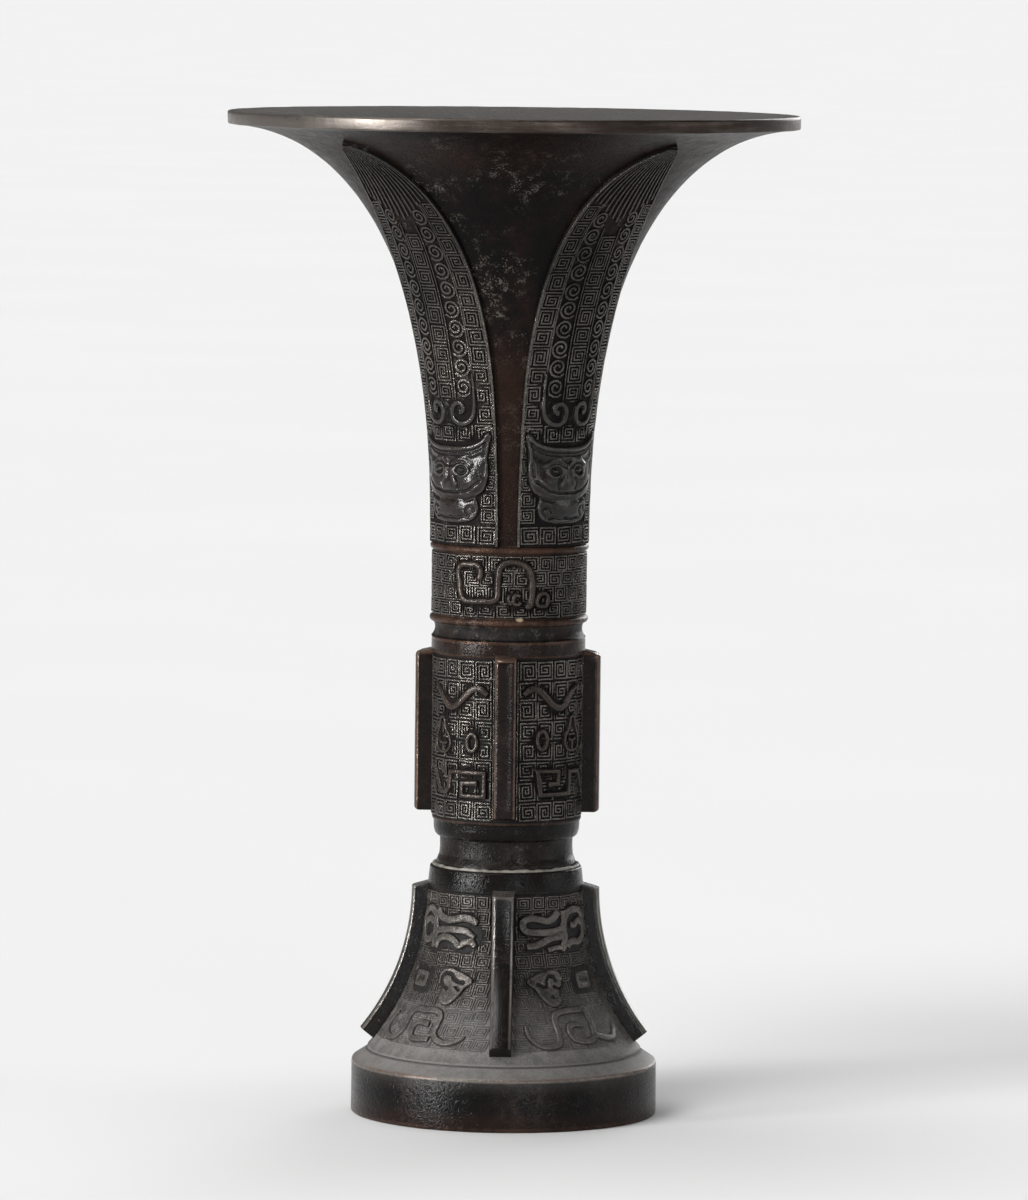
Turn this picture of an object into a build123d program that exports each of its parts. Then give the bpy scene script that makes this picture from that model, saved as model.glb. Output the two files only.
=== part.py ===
"""Tall bronze beaker of the gu form: trumpet mouth, drum-shaped middle and flared foot.

Three hollow castings are soldered end to end, each with a spigot in the next one's socket.
A disc closes the bowl inside the middle casting. Four straight bars stand on the drum and
four curved ones on the foot. Sizes are in millimetres, +Z is up, and the foot ring's
underside lies on z = 0 with the vessel's axis on the Z axis.
"""
import math
import os

from build123d import *

# Heights of the zones, stacked from the table up
ring_height = 15.7
shelf_height = 3.8
shelf_step = 0.4
flare_height = 48.1
foot_band_height = 6.5
waist_height = 9.1
lower_band_height = 5.2
drum_height = 49.9
upper_band_height = 5.0
cavetto_height = 4.3
rib_height = 2.3
collar_height = 19.3
trumpet_height = 124.1
lip_height = 4.0

# Outer radii of the zones
foot_radius = 46.0
shelf_width = 5.1
flare_top_radius = 23.2
foot_band_swell = 0.3
foot_band_taper = 0.7
bead_radius = 20.7
waist_radius = 19.4
lower_band_radius = 22.0
drum_radius = 22.4
upper_band_radius = 23.1
cavetto_radius = 22.2
collar_radius = 22.8
rib_projection = 0.8
neck_radius = 22.7
mouth_radius = 85.5

# The trumpet's curve: a superellipse, squarer than a true ellipse, that would level off past the lip
trumpet_power = 2.36
trumpet_reach = 5.3
trumpet_steps = 9
inner_flare_lead = 7.0
lip_land = 2.0

# Hollow inside
bowl_radius = 18.2
ring_wall = 4.0
foot_wall = 3.4
ring_inner_slope = 2.5
waist_bore_radius = 15.2

# Sockets, spigots and solder
joint_film = 0.05
neck_spigot_wall = 1.8
neck_spigot_length = 9.0
neck_solder_thickness = 0.5
foot_spigot_radius = 18.6
foot_spigot_length = 9.0
foot_socket_relief = 1.0
foot_solder_width = 1.5
foot_solder_height = 1.5

# Floor of the bowl
floor_rise = 2.4
floor_thickness = 3.0
floor_solder_leg = 1.4

# Raised leaf blades on the trumpet
leaf_count = 4
leaf_relief = 0.7
# Half width of a blade, and how far up the trumpet's height it is measured
leaf_outline = [
    (14.1, 0.0),
    (14.9, 0.42),
    (15.7, 0.59),
    (14.0, 0.8),
    (11.1, 0.88),
    (5.6, 0.948),
    (0.0, 0.972),
]

# Upright bars
flange_count = 4
mid_flange_width = 6.4
mid_flange_radius = 27.8
mid_flange_bottom_gap = 2.2
foot_flange_width = 6.5
foot_flange_projection = 5.0
foot_flange_end_gap = 3.0
flange_top_overlap = 1.3
flange_top_slope = 1.4
flange_seat_depth = 0.5
flange_edge_radius = 0.7

# Levels that follow from the stack
z_shelf = ring_height + shelf_height
z_flare = z_shelf + shelf_step
z_foot_band = z_flare + flare_height
z_foot_top = z_foot_band + foot_band_height
z_lower_band = z_foot_top + waist_height
z_drum = z_lower_band + lower_band_height
z_upper_band = z_drum + drum_height
z_mid_top = z_upper_band + upper_band_height
z_low_rib = z_mid_top + cavetto_height
z_collar = z_low_rib + rib_height
z_high_rib = z_collar + collar_height
z_trumpet = z_high_rib + rib_height
z_lip = z_trumpet + trumpet_height
z_top = z_lip + lip_height

# The flare of the foot is an arc, upright at its top, that ends on the shelf
flare_foot_radius = foot_radius - shelf_width
flare_reach = flare_foot_radius - flare_top_radius
flare_arc_radius = (flare_reach**2 + flare_height**2) / (2 * flare_reach)
flare_centre_x = flare_top_radius + flare_arc_radius
flare_sweep = math.asin(flare_height / flare_arc_radius)

neck_spigot_radius = bowl_radius + neck_spigot_wall
neck_socket_radius = neck_spigot_radius + joint_film
z_neck_spigot = z_mid_top - neck_spigot_length
z_neck_socket = z_neck_spigot - neck_solder_thickness
foot_socket_radius = foot_spigot_radius + joint_film
z_foot_spigot = z_foot_top - foot_spigot_length
z_foot_socket = z_foot_spigot - foot_socket_relief
z_floor = z_lower_band + floor_rise
z_floor_top = z_floor + floor_thickness


def flared(start, end, base, mouth):
    """Curve that leaves the base upright and opens towards the mouth, still rising a little there."""
    level = mouth + trumpet_reach
    last = math.acos((trumpet_reach / (level - base)) ** (trumpet_power / 2))
    rise = (end - start) / math.sin(last) ** (2 / trumpet_power)
    points = []
    for i in range(trumpet_steps):
        angle = last * i / (trumpet_steps - 1)
        inward = math.cos(angle) ** (2 / trumpet_power)
        along = math.sin(angle) ** (2 / trumpet_power)
        points.append((level - (level - base) * inward, start + rise * along))
    return Spline(*points)


def trumpet_curve(offset):
    """Outer face of the trumpet, moved outward by an offset."""
    return flared(z_trumpet, z_lip - offset, neck_radius + offset, mouth_radius)


def bore_curve():
    """Inner face of the trumpet, which starts a little lower than the outer one."""
    return flared(z_trumpet - inner_flare_lead, z_top, bowl_radius, mouth_radius - lip_land)


def turned(outline):
    """Solid of revolution from a closed outline in the radius and height plane."""
    return revolve(Plane.XZ * make_face(outline), Axis.Z)


def flare_point(radius, angle):
    """Point at an angle below the upright end of an arc about the flare's centre."""
    return (flare_centre_x - radius * math.cos(angle), z_foot_band - radius * math.sin(angle))


def flare_arc(radius, angle_a, angle_b):
    """Arc about the flare's centre between two angles below its upright end."""
    middle = flare_point(radius, (angle_a + angle_b) / 2)
    return ThreePointArc(flare_point(radius, angle_a), middle, flare_point(radius, angle_b))


def make_leaf():
    """One leaf blade: a thin skin over the trumpet, cut to the leaf's outline from below."""
    inner = trumpet_curve(-leaf_relief)
    outer = trumpet_curve(leaf_relief)
    skirt = z_trumpet - rib_height / 3
    strip = [
        inner,
        outer,
        Line(inner @ 1, outer @ 1),
        Polyline(inner @ 0, (neck_radius - leaf_relief, skirt), (neck_radius + leaf_relief, skirt), outer @ 0),
    ]
    skin = revolve(Plane.XZ * make_face(strip), Axis.Z, 88)
    skin = Rot(0, 0, -44) * skin
    # The outline is drawn on a plane that looks up at the flare at 45 degrees
    view = Plane(origin=(0, 0, z_trumpet), x_dir=(0, 1, 0), z_dir=(1, 0, -1))

    def seen(half_width, share):
        """Where a point of the leaf's edge lands on the viewing plane."""
        inward = (1 - share**trumpet_power) ** (1 / trumpet_power)
        level = mouth_radius + trumpet_reach
        radius = level - (level - neck_radius) * inward
        ahead = math.sqrt(radius**2 - half_width**2)
        return (half_width, (ahead + share * trumpet_height) / math.sqrt(2))

    points = [seen(*corner) for corner in leaf_outline]
    base = points[0]
    low = (base[0], base[1] - 2 * rib_height)
    edge = Line(low, base) + Spline(*points)
    outline = make_face(edge + edge.mirror(Plane.YZ) + Line(low, (-low[0], low[1])))
    return skin & extrude(view * outline, mouth_radius, both=True)


def make_neck():
    """Upper casting: spigot, hollow moulding, collar between ribs, trumpet and lip."""
    rib_radius = collar_radius + rib_projection
    outer = trumpet_curve(0)
    bore = bore_curve()
    outline = [
        Polyline(
            (bowl_radius, z_trumpet - inner_flare_lead),
            (bowl_radius, z_neck_spigot),
            (neck_spigot_radius, z_neck_spigot),
            (neck_spigot_radius, z_mid_top),
            (upper_band_radius - rib_projection / 4, z_mid_top),
        ),
        ThreePointArc(
            (upper_band_radius - rib_projection / 4, z_mid_top),
            (cavetto_radius, z_mid_top + cavetto_height * 0.6),
            (collar_radius - rib_projection / 4, z_low_rib),
        ),
        Line((collar_radius - rib_projection / 4, z_low_rib), (collar_radius, z_low_rib)),
        ThreePointArc(
            (collar_radius, z_low_rib),
            (rib_radius, z_low_rib + rib_height / 2),
            (collar_radius, z_collar),
        ),
        Line((collar_radius, z_collar), (collar_radius, z_high_rib)),
        ThreePointArc(
            (collar_radius, z_high_rib),
            (rib_radius, z_high_rib + rib_height / 2),
            (collar_radius, z_trumpet),
        ),
        Line((collar_radius, z_trumpet), outer @ 0),
        outer,
        Polyline(outer @ 1, (mouth_radius, z_top), bore @ 1),
        bore,
    ]
    body = turned(outline)
    leaf = make_leaf()
    step = 360 / leaf_count
    leaves = [Rot(0, 0, step / 2 + step * i) * leaf for i in range(leaf_count)]
    return body + leaves


def make_middle():
    """Drum casting with the neck's socket on top, the waist below and a spigot under it."""
    waist_shoulder = (waist_radius + lower_band_radius) / 2 - 0.2
    outline = [
        Polyline(
            (bowl_radius, z_floor),
            (waist_bore_radius, z_floor),
            (waist_bore_radius, z_foot_spigot),
            (foot_spigot_radius, z_foot_spigot),
            (foot_spigot_radius, z_foot_top),
            (bead_radius, z_foot_top),
            (bead_radius, z_foot_top + waist_height * 0.28),
        ),
        ThreePointArc(
            (bead_radius, z_foot_top + waist_height * 0.28),
            (waist_radius, z_foot_top + waist_height * 0.6),
            (waist_shoulder, z_lower_band),
        ),
        Polyline(
            (waist_shoulder, z_lower_band),
            (lower_band_radius, z_lower_band),
            (lower_band_radius, z_drum),
            (drum_radius, z_drum),
            (drum_radius, z_upper_band),
            (upper_band_radius, z_upper_band),
            (upper_band_radius, z_mid_top),
            (neck_socket_radius, z_mid_top),
            (neck_socket_radius, z_neck_socket),
            (bowl_radius, z_neck_socket),
            (bowl_radius, z_floor),
        ),
    ]
    return turned(outline)


def make_foot():
    """Flared foot, hollow underneath, with the waist's socket in its collar."""
    inner_arc = flare_arc_radius + foot_wall
    inner_sweep = math.asin((z_foot_band - ring_height) / inner_arc)
    socket_angle = math.asin((z_foot_band - z_foot_socket) / inner_arc)
    ring_inner = foot_radius - ring_wall
    band_radius = flare_top_radius + foot_band_swell
    outline = [
        flare_arc(flare_arc_radius, 0, flare_sweep),
        Polyline(
            flare_point(flare_arc_radius, flare_sweep),
            (flare_foot_radius, z_shelf),
            (foot_radius, ring_height),
            (foot_radius, 0),
            (ring_inner, 0),
            (ring_inner, ring_height - ring_inner_slope),
            flare_point(inner_arc, inner_sweep),
        ),
        flare_arc(inner_arc, inner_sweep, socket_angle),
        Polyline(
            flare_point(inner_arc, socket_angle),
            (foot_socket_radius, z_foot_socket),
            (foot_socket_radius, z_foot_top),
            (band_radius - foot_band_taper, z_foot_top),
            (band_radius, z_foot_band),
            (flare_top_radius, z_foot_band),
        ),
    ]
    return turned(outline)


def bar(side, width):
    """Bar of one width from its side outline, with its edges still sharp."""
    return extrude(Plane.XZ * make_face(side), width / 2, both=True)


def mid_flange_bar():
    """Straight bar on the drum, let into a flat seat, its top sloping outward."""
    seat = math.sqrt(drum_radius**2 - (mid_flange_width / 2) ** 2) - flange_seat_depth
    top = z_upper_band + flange_top_overlap
    low = z_drum + mid_flange_bottom_gap
    side = Polyline(
        (seat, low),
        (mid_flange_radius, low),
        (mid_flange_radius, top - flange_top_slope),
        (seat, top),
        (seat, low),
    )
    return bar(side, mid_flange_width)


def foot_flange_bar(seat_depth):
    """Curved bar that follows the flare at one height, its lower end cut square."""
    seat = flare_arc_radius + seat_depth
    edge = flare_arc_radius - foot_flange_projection
    end = flare_sweep - foot_flange_end_gap / flare_arc_radius
    slope = flange_top_slope / foot_flange_projection
    seat_top = (flare_centre_x - seat, z_foot_band + flange_top_overlap + slope * seat_depth)
    edge_angle = math.asin((flange_top_slope - flange_top_overlap) / edge)
    side = [
        flare_arc(seat, 0, end),
        Line(flare_point(seat, end), flare_point(edge, end)),
        flare_arc(edge, end, edge_angle),
        Polyline(flare_point(edge, edge_angle), seat_top, flare_point(seat, 0)),
    ]
    return bar(side, foot_flange_width)


def on_mid_edge(edge):
    """True for the edges round the outer face of a bar on the drum."""
    return edge.center().X > mid_flange_radius - joint_film


def on_foot_edge(edge):
    """True for the edges round the outer face of a bar on the foot."""
    centre = edge.center()
    reach = math.hypot(centre.X - flare_centre_x, centre.Z - z_foot_band)
    return reach < flare_arc_radius - foot_flange_projection + joint_film


def ring(points):
    """Ring of solder from the corners of its section."""
    return turned(Polyline(*points, points[0]))


neck = make_neck()
middle = make_middle()
foot = make_foot()
mid_bar = mid_flange_bar()
mid_flange = fillet(mid_bar.edges().filter_by(on_mid_edge), flange_edge_radius)
foot_bar = foot_flange_bar(flange_seat_depth - joint_film)
foot_flange = fillet(foot_bar.edges().filter_by(on_foot_edge), flange_edge_radius)
foot_seat = foot_flange_bar(flange_seat_depth)

sides = {"front": -90, "right": 0, "back": 90, "left": 180}
pieces = {}
for side_name, side_angle in sides.items():
    turn = Rot(0, 0, side_angle)
    middle = middle - turn * mid_bar
    foot = foot - turn * foot_seat
    pieces["mid_flange_" + side_name] = turn * mid_flange
    pieces["foot_flange_" + side_name] = turn * foot_flange

pieces["neck_section"] = neck
pieces["middle_section"] = middle
pieces["foot_section"] = foot

floor_radius = bowl_radius - joint_film
pieces["bowl_floor"] = Pos(0, 0, z_floor) * Cylinder(
    floor_radius, floor_thickness, align=(Align.CENTER, Align.CENTER, Align.MIN)
)
pieces["floor_solder"] = ring(
    [
        (floor_radius - floor_solder_leg, z_floor_top),
        (floor_radius, z_floor_top),
        (floor_radius, z_floor_top + floor_solder_leg),
    ]
)
pieces["neck_joint_solder"] = ring(
    [
        (bowl_radius, z_neck_socket),
        (neck_spigot_radius, z_neck_socket),
        (neck_spigot_radius, z_neck_spigot),
        (bowl_radius, z_neck_spigot),
    ]
)
solder_radius = bead_radius + joint_film
pieces["foot_joint_solder"] = ring(
    [
        (solder_radius, z_foot_top),
        (solder_radius + foot_solder_width, z_foot_top),
        (solder_radius + foot_solder_width * 0.7, z_foot_top + foot_solder_height * 0.65),
        (solder_radius, z_foot_top + foot_solder_height),
    ]
)

os.makedirs("parts", exist_ok=True)
for name, piece in pieces.items():
    export_step(piece, "parts/" + name + ".step")
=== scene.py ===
# %% [markdown]
# # A bronze gu beaker
# A gu is a tall ritual beaker: a trumpet mouth, a drum-shaped middle and a flared foot, each cast
# on its own and soldered to the next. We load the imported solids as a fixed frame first, because
# every piece made here has to sit exactly where its solid sits.

# %% Load the frame
import math
import random
import bpy
import numpy as np
from mathutils import Matrix, Vector, noise
from mathutils.kdtree import KDTree


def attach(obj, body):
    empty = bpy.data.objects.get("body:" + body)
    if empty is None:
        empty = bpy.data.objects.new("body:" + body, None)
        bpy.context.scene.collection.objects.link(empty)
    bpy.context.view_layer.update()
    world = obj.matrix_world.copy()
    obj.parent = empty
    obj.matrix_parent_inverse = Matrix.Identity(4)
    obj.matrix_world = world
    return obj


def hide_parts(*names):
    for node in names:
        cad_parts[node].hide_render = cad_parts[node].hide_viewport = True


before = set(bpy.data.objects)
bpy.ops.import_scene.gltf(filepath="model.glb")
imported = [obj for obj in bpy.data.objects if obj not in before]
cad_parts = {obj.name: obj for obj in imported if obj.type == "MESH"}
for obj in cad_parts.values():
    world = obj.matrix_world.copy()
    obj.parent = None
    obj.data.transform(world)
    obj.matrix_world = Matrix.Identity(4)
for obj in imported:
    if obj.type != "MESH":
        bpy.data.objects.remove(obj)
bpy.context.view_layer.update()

MM = 0.001


# %% [markdown]
# ## The camera
# The beaker is seen from a little above its middle, from far away through a long lens, so the two
# sides of the trumpet stay nearly even. The picture is 1028 by 1200, and a lens in pixels turns
# into millimetres by the picture's longer side. The camera leans by two thirds of a degree, as the
# real beaker does in its picture.

# %% Set the camera
LENS_PIXELS = 7640
PICTURE_HEIGHT = 1200
VIEW_SIDE = math.radians(1.5)
VIEW_DOWN = math.radians(4.92)
VIEW_LEAN = math.radians(0.66)
VIEW_OFFSET = 5.1 / LENS_PIXELS
VIEW_DISTANCE = 2280.9
VIEW_HEIGHT = 350.6

lens = bpy.data.cameras.new("camera")
lens.sensor_width = 36
lens.lens = lens.sensor_width * LENS_PIXELS / PICTURE_HEIGHT
camera = bpy.data.objects.new("camera", lens)
bpy.context.scene.collection.objects.link(camera)
camera_place = MM * Vector(
    (math.sin(VIEW_SIDE) * VIEW_DISTANCE, -math.cos(VIEW_SIDE) * VIEW_DISTANCE, VIEW_HEIGHT)
)
camera.matrix_world = (
    Matrix.Translation(camera_place)
    @ Matrix.Rotation(VIEW_SIDE - VIEW_OFFSET, 4, "Z")
    @ Matrix.Rotation(math.radians(90) - VIEW_DOWN, 4, "X")
    @ Matrix.Rotation(VIEW_LEAN, 4, "Z")
)
bpy.context.scene.camera = camera
bpy.context.scene.view_settings.view_transform = "Standard"
print("lens of", round(lens.lens, 1), "mm at", [round(c, 3) for c in camera_place])


# %% [markdown]
# ## Helpers for working by hand
# Operators act on whatever is selected, so each piece is taken alone before it is worked on. A
# piece often starts as one vertex, which is then drawn out into an outline. Its mesh is opened in
# edit mode to be shaped, and closed again.

# %% Pick a piece up, start a piece
def put_down():
    """Deselects every piece."""
    bpy.ops.object.select_all(action="DESELECT")


def take(*pieces):
    """Selects these pieces alone and makes the first one active."""
    put_down()
    for piece in pieces:
        piece.select_set(True)
    bpy.context.view_layer.objects.active = pieces[0]


def named(name):
    """Gives the piece that was just added its name."""
    piece = bpy.context.object
    piece.name = name
    piece.data.name = name
    return piece


def open_mesh():
    """Opens the active piece in edit mode."""
    bpy.ops.object.mode_set(mode="EDIT")


def close_mesh():
    """Closes the open mesh."""
    bpy.ops.object.mode_set(mode="OBJECT")


def pick_all():
    """Selects the whole of the open mesh."""
    bpy.ops.mesh.select_all(action="SELECT")


def one_vertex(name):
    """Starts a piece as a single vertex at the origin, left open."""
    put_down()
    bpy.ops.mesh.primitive_plane_add(size=MM)
    piece = named(name)
    open_mesh()
    bpy.ops.mesh.select_mode(type="VERT")
    pick_all()
    bpy.ops.mesh.merge(type="CENTER")
    return piece


print("pieces can be picked up and opened")

# %% [markdown]
# What repeats is modelled once and copied, each copy with its own mesh. A finished piece gets its
# finish, rides on the vessel's one body, and hides the solids it stands for.

# %% Copy a piece, hand it over
def copied(piece, name, move=Matrix()):
    """A copy of a piece, with a mesh of its own that is moved by a matrix."""
    other = piece.copy()
    other.data = piece.data.copy()
    other.name = name
    other.data.name = name
    bpy.context.scene.collection.objects.link(other)
    other.data.transform(move)
    return other


def turn_by(degrees):
    """A turn round the vessel's axis."""
    return Matrix.Rotation(math.radians(degrees), 4, "Z")


def cleared(*drawings):
    """Removes drawings that have been copied to where they belong."""
    for drawing in drawings:
        bpy.data.objects.remove(drawing)


def smoothed(degrees):
    """Shades the active piece smooth, except over edges sharper than this."""
    bpy.ops.object.shade_smooth_by_angle(angle=math.radians(degrees))


def apply_all(piece):
    """Applies the piece's modifiers in their order."""
    take(piece)
    for modifier in list(piece.modifiers):
        bpy.ops.object.modifier_apply(modifier=modifier.name)


def belongs(piece, finish, slot_name, *nodes):
    """Gives a finished piece its finish and its place on the vessel's one body; slot_name is not used."""
    piece.data.materials.clear()
    piece.data.materials.append(finish)
    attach(piece, "root")
    if nodes:
        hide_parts(*nodes)
    count = sum(len(face.vertices) - 2 for face in piece.data.polygons)
    print(piece.name, "has", count, "triangles")


print("pieces can be copied and handed over")


# %% [markdown]
# ## Floor and light
# A wide pale floor and even grey surroundings keep the picture plain. The main light is soft and
# stands low on the left, so that the upright walls shine and raised lines have a lit side and a
# shaded one. Two weaker ones, near the camera and on the right, draw long lights on the bars and
# open the shadows. A higher one reaches in under the mouth to the ledges and the spread of the
# foot, one behind keeps the far side readable, and one overhead lights the floor. They are sun
# lamps with a wide disc: soft like large panels, and equally strong all over the floor.

# %% Lay the floor and hang the lamps
FLOOR_RADIUS = 60
SKY_COLOUR = (0.50, 0.50, 0.51, 1)
SKY_STRENGTH = 0.30
put_down()
bpy.ops.mesh.primitive_circle_add(vertices=96, radius=FLOOR_RADIUS, fill_type="NGON", location=(0, 0, 0))
floor = named("studio_floor")

world = bpy.data.worlds.new("studio")
world.use_nodes = True
sky = world.node_tree.nodes["Background"]
sky.inputs["Color"].default_value = SKY_COLOUR
sky.inputs["Strength"].default_value = SKY_STRENGTH
bpy.context.scene.world = world


def soft_lamp(name, place, strength, disc):
    """A lamp with a disc in degrees, shining from a place in metres towards the origin."""
    lamp = bpy.data.lights.new(name, "SUN")
    lamp.energy = strength
    lamp.angle = math.radians(disc)
    holder = bpy.data.objects.new(name, lamp)
    bpy.context.scene.collection.objects.link(holder)
    aim = (-Vector(place)).to_track_quat("-Z", "Y").to_matrix().to_4x4()
    holder.matrix_world = Matrix.Translation(place) @ aim


soft_lamp("lamp_left", (-1.5, -1.0, 0.14), 4.0, 14)
soft_lamp("lamp_front", (0.45, -1.4, 0.04), 0.7, 10)
soft_lamp("lamp_right", (1.7, -0.3, 0.25), 0.6, 30)
soft_lamp("lamp_high", (-0.7, -0.8, 1.1), 1.6, 30)
soft_lamp("lamp_above", (-0.3, 0.4, 2.2), 1.5, 40)
soft_lamp("lamp_back", (0.6, 1.5, 0.45), 1.1, 30)
print("floor and six lamps are up")


# %% [markdown]
# ## Writing shader sums
# A patina is many thin layers. Writing them as sums of masks is far easier to read than wiring
# nodes one at a time, so one small class wraps a socket and lets Python's operators add the nodes.

# %% The shader class
class Tone:
    """A value in a material's node tree; sums of tones add Math nodes."""

    def __init__(self, tree, socket):
        self.tree = tree
        self.socket = socket

    def node(self, kind, settings, inputs, output=0):
        """Adds any node: its settings first, then the values or links of its sockets."""
        made = self.tree.nodes.new("ShaderNode" + kind)
        for key, value in settings.items():
            setattr(made, key, value)
        for key, value in inputs.items():
            if isinstance(value, Tone):
                self.tree.links.new(value.socket, made.inputs[key])
            else:
                made.inputs[key].default_value = value
        return Tone(self.tree, made.outputs[output])

    def maths(self, operation, a, b=0.0):
        return self.node("Math", {"operation": operation}, {0: a, 1: b})

    def __add__(self, other):
        return self.maths("ADD", self, other)

    def __sub__(self, other):
        return self.maths("SUBTRACT", self, other)

    def __rsub__(self, other):
        return self.maths("SUBTRACT", other, self)

    def __mul__(self, other):
        return self.maths("MULTIPLY", self, other)

    __radd__ = __add__
    __rmul__ = __mul__

    def above(self, low, high):
        """0 below low, 1 above high, and soft between them."""
        ends = {"Value": self, "From Min": low, "From Max": high}
        return self.node("MapRange", {"interpolation_type": "SMOOTHSTEP"}, ends)

    def most(self, other):
        return self.maths("MAXIMUM", self, other)

    def blend(self, other, share):
        """This colour turned into the other one by a share from 0 to 1."""
        return self.node("Mix", {"data_type": "RGBA"}, {0: share, 6: self, 7: other}, 2)

    def vectors(self, operation, other=(0, 0, 0), output=0):
        """This vector worked on with another; output 1 holds a length."""
        return self.node("VectorMath", {"operation": operation}, {0: self, 1: other}, output)

    def part(self, axis):
        """One part of this vector, by the number of its axis."""
        return self.node("SeparateXYZ", {}, {"Vector": self}, axis)


def start_finish(name):
    """A new material: its shader, and the place on the piece to hang patterns on."""
    finish = bpy.data.materials.new(name)
    finish.use_nodes = True
    tree = finish.node_tree
    shader = tree.nodes["Principled BSDF"]
    place = tree.nodes.new("ShaderNodeTexCoord")
    return finish, shader, Tone(tree, place.outputs["Object"])


print("shader sums are ready")


# %% [markdown]
# ## The bronze finishes
# Old bronze is nearly black where the patina is whole, reddish brown where hands and the light have
# thinned it, and grey where dust and crust sit in the hollows. The low ground beside raised ornament
# is painted black, as black patina and painted shade together, and a few bands paint light and shade
# on the wall. These colours are laid over each other through masks: noise for patches and streaks,
# heights for bands, and marks that a piece keeps.

# %% Colours and masks
SOOT = (0.0038, 0.0034, 0.0033, 1)
UMBER = (0.024, 0.0115, 0.0076, 1)
CRUST = (0.170, 0.158, 0.140, 1)
DUST = (0.050, 0.047, 0.044, 1)
# This pale grey is dust, and on upward faces it is also painted light from above.
ASH_AND_TOP_LIGHT = (0.160, 0.153, 0.145, 1)
WORN = (0.105, 0.059, 0.041, 1)
# This rubbed-metal colour is for the lip, and on the lip's left side it is a painted highlight.
RUBBED_AND_LIT = (0.200, 0.180, 0.162, 1)
LIP = (0.030, 0.022, 0.018, 1)
PALE = (0.230, 0.212, 0.190, 1)
CHIP = (0.420, 0.330, 0.210, 1)
CHIP_PLACE = (3.9 * MM, -23.0 * MM, 150.3 * MM)
CHIP_SHAPE = (1, 1, 1.8)
CHIP_EDGE = (1.3 * MM, 1.9 * MM)
LIP_EDGE = (84.1 * MM, 84.7 * MM)
# The lip's left side, which is painted lighter as a highlight.
LIT_SIDE_OF_LIP = (-50 * MM, -5 * MM)
PIT_DEPTH = 0.4 * MM
CARVED_HOLLOWS = (SOOT, 0.9, 0.35)
BAR_HOLLOWS = (SOOT, 0.3, 0.0)


def speckle(place, scale, detail, stretch=(1, 1, 1)):
    """Noise over the piece; a stretch above 1 draws it together along that axis."""
    spot = place.node("Mapping", {}, {"Vector": place, "Scale": stretch})
    spread = {"Vector": spot, "Scale": scale, "Detail": detail, "Roughness": 0.6}
    return place.node("TexNoise", {}, spread)


def kept_mark(place, name):
    """The number that each point of the piece keeps under a name."""
    return place.node("Attribute", {"attribute_name": name}, {}, "Fac")


def between(height, low, high, soft):
    """1 between two heights in mm, with soft ends."""
    over = height.above((low - soft) * MM, (low + soft) * MM)
    return over * (1 - height.above((high - soft) * MM, (high + soft) * MM))


def mouth_masks(place, patches, mottle, streaks):
    """Masks of the neck alone: its lip, the left part of that painted lighter as a highlight, the inside, a
    chip on the rib.
    """
    radius = place.vectors("MULTIPLY", (1, 1, 0)).vectors("LENGTH", output=1)
    edge = radius.above(*LIP_EDGE)
    lit_side = 1 - place.part(0).above(*LIT_SIDE_OF_LIP)
    thinned_and_lit = edge * ((patches * 0.6 + streaks * 0.6).above(0.50, 0.90) * 0.5 + lit_side * 0.6)
    apart = place.vectors("SUBTRACT", CHIP_PLACE).vectors("MULTIPLY", CHIP_SHAPE)
    chip = 1 - (apart.vectors("LENGTH", output=1) + mottle * MM).above(*CHIP_EDGE)
    return edge, thinned_and_lit, kept_mark(place, "inside"), chip


print("colours and masks are ready")

# %% [markdown]
# One recipe makes every bronze finish. It is mixed in different shares for the smooth walls, the
# carved ground, the raised lines and the bars, so that they stay one metal that has aged together.

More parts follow.
